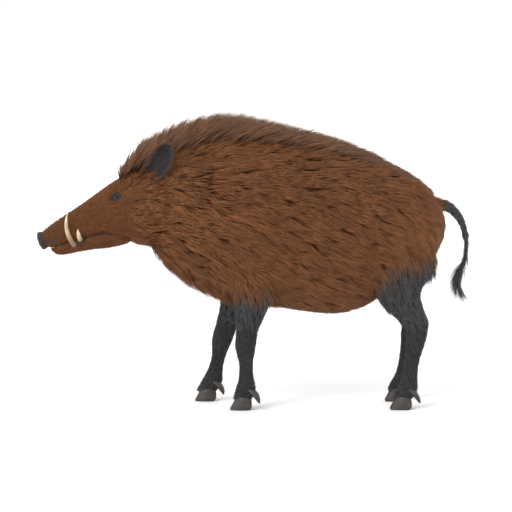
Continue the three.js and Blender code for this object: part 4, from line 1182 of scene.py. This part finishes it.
class Finish:
    """A material whose Principled shader is set by name, and whose other nodes all come from add()."""

    def __init__(self, name, **constants):
        self.material = bpy.data.materials.new(name)
        self.material.use_nodes = True
        self.tree = self.material.node_tree
        self.shader = self.tree.nodes["Principled BSDF"]
        for socket, value in constants.items():
            self.shader.inputs[socket.replace("_", " ")].default_value = value

    def add(self, kind, settings=None, *values, out=0, **named_values):
        """A node of a kind with its settings, then the values or wires of its sockets."""
        node = self.tree.nodes.new(kind)
        for setting, value in (settings or {}).items():
            if setting == "stops":
                ramp = node.color_ramp
                while len(ramp.elements) < len(value):
                    ramp.elements.new(0.5)
                for element, (at, colour) in zip(ramp.elements, value):
                    element.position, element.color = at, (*colour, 1)
            else:
                setattr(node, setting, value)
        named_values = {key.replace("_", " "): value for key, value in named_values.items()}
        for key, value in (dict(enumerate(values)) | named_values).items():
            if isinstance(value, Wire):
                self.tree.links.new(value.socket, node.inputs[key])
            elif value is not None:
                node.inputs[key].default_value = value
        return Wire(self, node.outputs[out])

    def mark(self, name):
        """A number that the piece's vertices keep."""
        return self.add("ShaderNodeAttribute", {"attribute_name": name}, out="Fac")

    def here(self, scale=(1, 1, 1)):
        """The place on the piece, stretched."""
        at = self.add("ShaderNodeTexCoord", out="Object")
        return self.add("ShaderNodeMapping", Vector=at, Scale=scale)

    def noise(self, scale, detail=3, rough=0.5, stretch=(1, 1, 1)):
        at = self.here(stretch)
        return self.add("ShaderNodeTexNoise", Vector=at, Scale=scale, Detail=detail, Roughness=rough)

    def ramp(self, wire, *stops):
        """Colours along a wire's value, each stop a place and its colour."""
        return self.add("ShaderNodeValToRGB", {"stops": stops}, Fac=wire)

    def mix(self, share, one, other, blend="MIX"):
        """Two colours mixed by a share. The node's sockets 1 to 5 are for plain numbers and vectors."""
        one, other = (value if isinstance(value, Wire) else (*value, 1) for value in (one, other))
        settings = {"data_type": "RGBA", "blend_type": blend}
        return self.add("ShaderNodeMix", settings, share, *[None] * 5, one, other, out=2)

    def veil(self, wire, low, high, most=1):
        """A share that rises from 0 at low to most at high, as a grey."""
        return self.ramp(wire, (low, (0, 0, 0)), (high, (most, most, most)))

    def bump(self, height, strength, distance):
        return self.add("ShaderNodeBump", Height=height, Strength=strength, Distance=distance)

    def feed(self, **wires):
        """Leads wires into the shader's inputs, and gives the material."""
        for socket, wire in wires.items():
            self.tree.links.new(wire.socket, self.shader.inputs[socket.replace("_", " ")])
        return self.material


def bristle_finish():
    finish = Finish("bristles", Roughness=0.55, Specular_IOR_Level=0.18)
    run, tone, dark = finish.mark("run"), finish.mark("tone"), finish.mark("mark")
    brown = finish.ramp(
        run, (0, (0.09, 0.036, 0.015)), (0.45, (0.2, 0.077, 0.03)),
        (0.8, (0.285, 0.12, 0.048)), (1, (0.4, 0.21, 0.1)),
    )
    black = finish.ramp(run, (0, (0.03, 0.029, 0.029)), (0.6, (0.08, 0.079, 0.08)), (1, (0.16, 0.156, 0.153)))
    shade = finish.ramp(
        tone * 0.75 + finish.noise(5.5) * 0.35 - 0.05,
        (0, (0.5, 0.48, 0.46)), (0.5, (0.95, 0.95, 0.95)), (0.9, (1.4, 1.36, 1.3)), (1, (1.75, 1.68, 1.6)),
    )
    colour = finish.mix(1.0, finish.mix(dark, brown, black), shade, "MULTIPLY")
    return finish.feed(Base_Color=colour)


def hide_finish():
    finish = Finish("hide", Specular_IOR_Level=0.2)
    dark, bare = finish.mark("mark"), finish.mark("bare")
    back_streaks = finish.noise(1, 4, 0.6, (110, 700, 700))
    down_streaks = finish.noise(1, 4, 0.6, (700, 700, 110))
    streaks = back_streaks * (1 - dark) + down_streaks * dark
    brown = finish.ramp(
        streaks, (0.3, (0.04, 0.017, 0.008)), (0.55, (0.1, 0.04, 0.016)), (0.75, (0.19, 0.08, 0.033))
    )
    black = finish.ramp(streaks, (0.3, (0.008, 0.008, 0.008)), (0.7, (0.035, 0.034, 0.033)))
    blotch = finish.noise(70, 4)
    pores = finish.add("ShaderNodeTexVoronoi", {"feature": "SMOOTH_F1"}, Vector=finish.here(), Scale=340)
    creases = finish.noise(210, 5, 0.6)
    leather = finish.ramp(
        blotch * 0.6 + creases * 0.5 - pores * 0.25,
        (0.25, (0.016, 0.012, 0.011)), (0.5, (0.04, 0.029, 0.027)), (0.75, (0.085, 0.06, 0.054)),
    )
    leather = finish.mix(dark * 0.55, leather, (0.012, 0.01, 0.01))
    height = (creases - pores) * bare + streaks * (1 - bare)
    colour = finish.mix(bare, finish.mix(dark, brown, black), leather)
    rough = 0.8 - bare * 0.4 + bare * blotch * 0.2
    return finish.feed(Base_Color=colour, Roughness=rough, Normal=finish.bump(height, 0.8, 0.0016))


def eye_finish():
    finish = Finish("eye", Roughness=0.05, IOR=1.36)
    gaze, level, along = finish.mark("gaze"), finish.mark("level"), finish.mark("along")
    rays = finish.noise(420) * 0.06
    iris = finish.ramp(
        (level * level + along * along) ** 0.5 + rays,
        (0.2, (0.016, 0.006, 0.003)), (0.42, (0.04, 0.015, 0.006)), (0.56, (0.014, 0.006, 0.003)),
        (0.66, (0.008, 0.005, 0.005)), (0.74, (0.045, 0.03, 0.024)), (0.9, (0.07, 0.042, 0.036)),
    )
    # The pupil is wider than it is high.
    slot = (level * level * 1.9 + along * along * 0.7) ** 0.5 + rays * 0.5
    colour = finish.mix(finish.veil(slot, 0.24, 0.29), (0.002, 0.002, 0.002), iris)
    return finish.feed(Base_Color=finish.mix(finish.veil(gaze, 0, 0.2), (0.09, 0.055, 0.045), colour))


def tusk_finish():
    finish = Finish("ivory", IOR=1.54, Coat_Weight=0.3, Coat_Roughness=0.2)
    run = finish.mark("run")
    grain = finish.noise(90, 4, 0.6, (1, 1, 0.25))
    stains = finish.noise(38, 5, 0.65)
    colour = finish.ramp(
        run + grain * 0.3 - 0.15,
        (0.28, (0.24, 0.14, 0.065)), (0.48, (0.48, 0.36, 0.2)),
        (0.7, (0.68, 0.58, 0.4)), (1, (0.78, 0.71, 0.57)),
    )
    stained = finish.mix(finish.veil(stains, 0.5, 0.75, 0.5), colour, (0.2, 0.11, 0.05))
    rough, relief = 0.28 + stains * 0.2, finish.bump(grain, 0.25, 0.0006)
    return finish.feed(Base_Color=stained, Roughness=rough, Normal=relief)


def horn_finish():
    finish = Finish("horn", IOR=1.5)
    rings = finish.noise(1, 3, 0.6, (14, 14, 330))
    fibres = finish.noise(1, 4, 0.6, (330, 330, 26))
    dust = finish.noise(32, 5, 0.6)
    colour = finish.ramp(
        rings * 0.75 + fibres * 0.25,
        (0.3, (0.016, 0.014, 0.013)), (0.55, (0.034, 0.029, 0.026)), (0.75, (0.066, 0.054, 0.045)),
    )
    dusty = finish.mix(finish.veil(dust, 0.5, 0.8, 0.35), colour, (0.11, 0.09, 0.068))
    rough, relief = 0.4 + dust * 0.25, finish.bump(rings + fibres * 0.3, 0.3, 0.0006)
    return finish.feed(Base_Color=dusty, Roughness=rough, Normal=relief)


def dressed(pieces, material):
    """Gives pieces their finish. All of them ride on the part's one body."""
    for piece in pieces:
        piece.data.materials.clear()
        piece.data.materials.append(material)
        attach(piece, "root")


bristle = bristle_finish()
DARK = ("coat_forearms", "coat_hams", "coat_fore_shins", "coat_hind_shins", "coat_tail")
slots = dict.fromkeys(DARK, "dark_coat") | {"coat_ears": "ear", "coat_ear_fringe": "ear"}
for piece in coat:
    dressed([piece], bristle)
dressed([skin], hide_finish())
dressed(eyes, eye_finish())
dressed(tusks, tusk_finish())
dressed(horn, horn_finish())
FLESH = ["head", "lower_jaw", "snout_disc", "ear_left", "ear_right", "neck", "torso_front", "torso_rear"]
FLESH += ["tail_root", "tail_middle", "tail_tassel"]
FLESH += [f"{leg}_{part}" for leg in LEGS for part in ("upper", "cannon", "pastern")]
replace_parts(skin, *FLESH)

# ---- Studio ----

FLOOR_RADIUS = 40
bpy.ops.mesh.primitive_circle_add(vertices=96, radius=FLOOR_RADIUS, fill_type="TRIFAN")
floor = named("studio_floor")
paper = Finish("paper", Base_Color=(0.9, 0.9, 0.9, 1), Roughness=0.8, Specular_IOR_Level=0.1)
floor.data.materials.append(paper.material)

studio = bpy.data.worlds.new("studio")
bpy.context.scene.world = studio
studio.use_nodes = True
studio.node_tree.nodes["Background"].inputs["Color"].default_value = (1, 1, 1, 1)
studio.node_tree.nodes["Background"].inputs["Strength"].default_value = 1.0
# Each lamp: where it shines from, how wide it looks in degrees and how strong it is.
LAMPS = (("key", (-2.4, -3.4, 3.4), 24, 1.9), ("back_light", (2.5, 3.2, 4.0), 50, 0.9))
for name, spot, angle, energy in LAMPS:
    bpy.ops.object.light_add(type="SUN", location=spot)
    lamp = bpy.context.object
    lamp.name = name
    lamp.data.angle, lamp.data.energy = math.radians(angle), energy
    lamp.rotation_euler = (-Vector(spot)).to_track_quat("-Z", "Y").to_euler()

# The camera stands square to the left side, a little above it, with a long lens.
VIEW_UP, DISTANCE, FRAME_WIDTH, AIM = math.radians(5), 9.0, 1.78, Vector((0.009, 0, 0.522))
SENSOR, SIGHT = 36, 60
bpy.ops.object.camera_add(location=AIM + DISTANCE * Vector((0, -math.cos(VIEW_UP), math.sin(VIEW_UP))))
camera = bpy.context.object
camera.rotation_euler = (math.pi / 2 - VIEW_UP, 0, 0)
camera.data.sensor_width = SENSOR
camera.data.lens = SENSOR * DISTANCE / FRAME_WIDTH
camera.data.clip_end = SIGHT
bpy.context.scene.camera = camera
bpy.context.scene.view_settings.view_transform = "Standard"
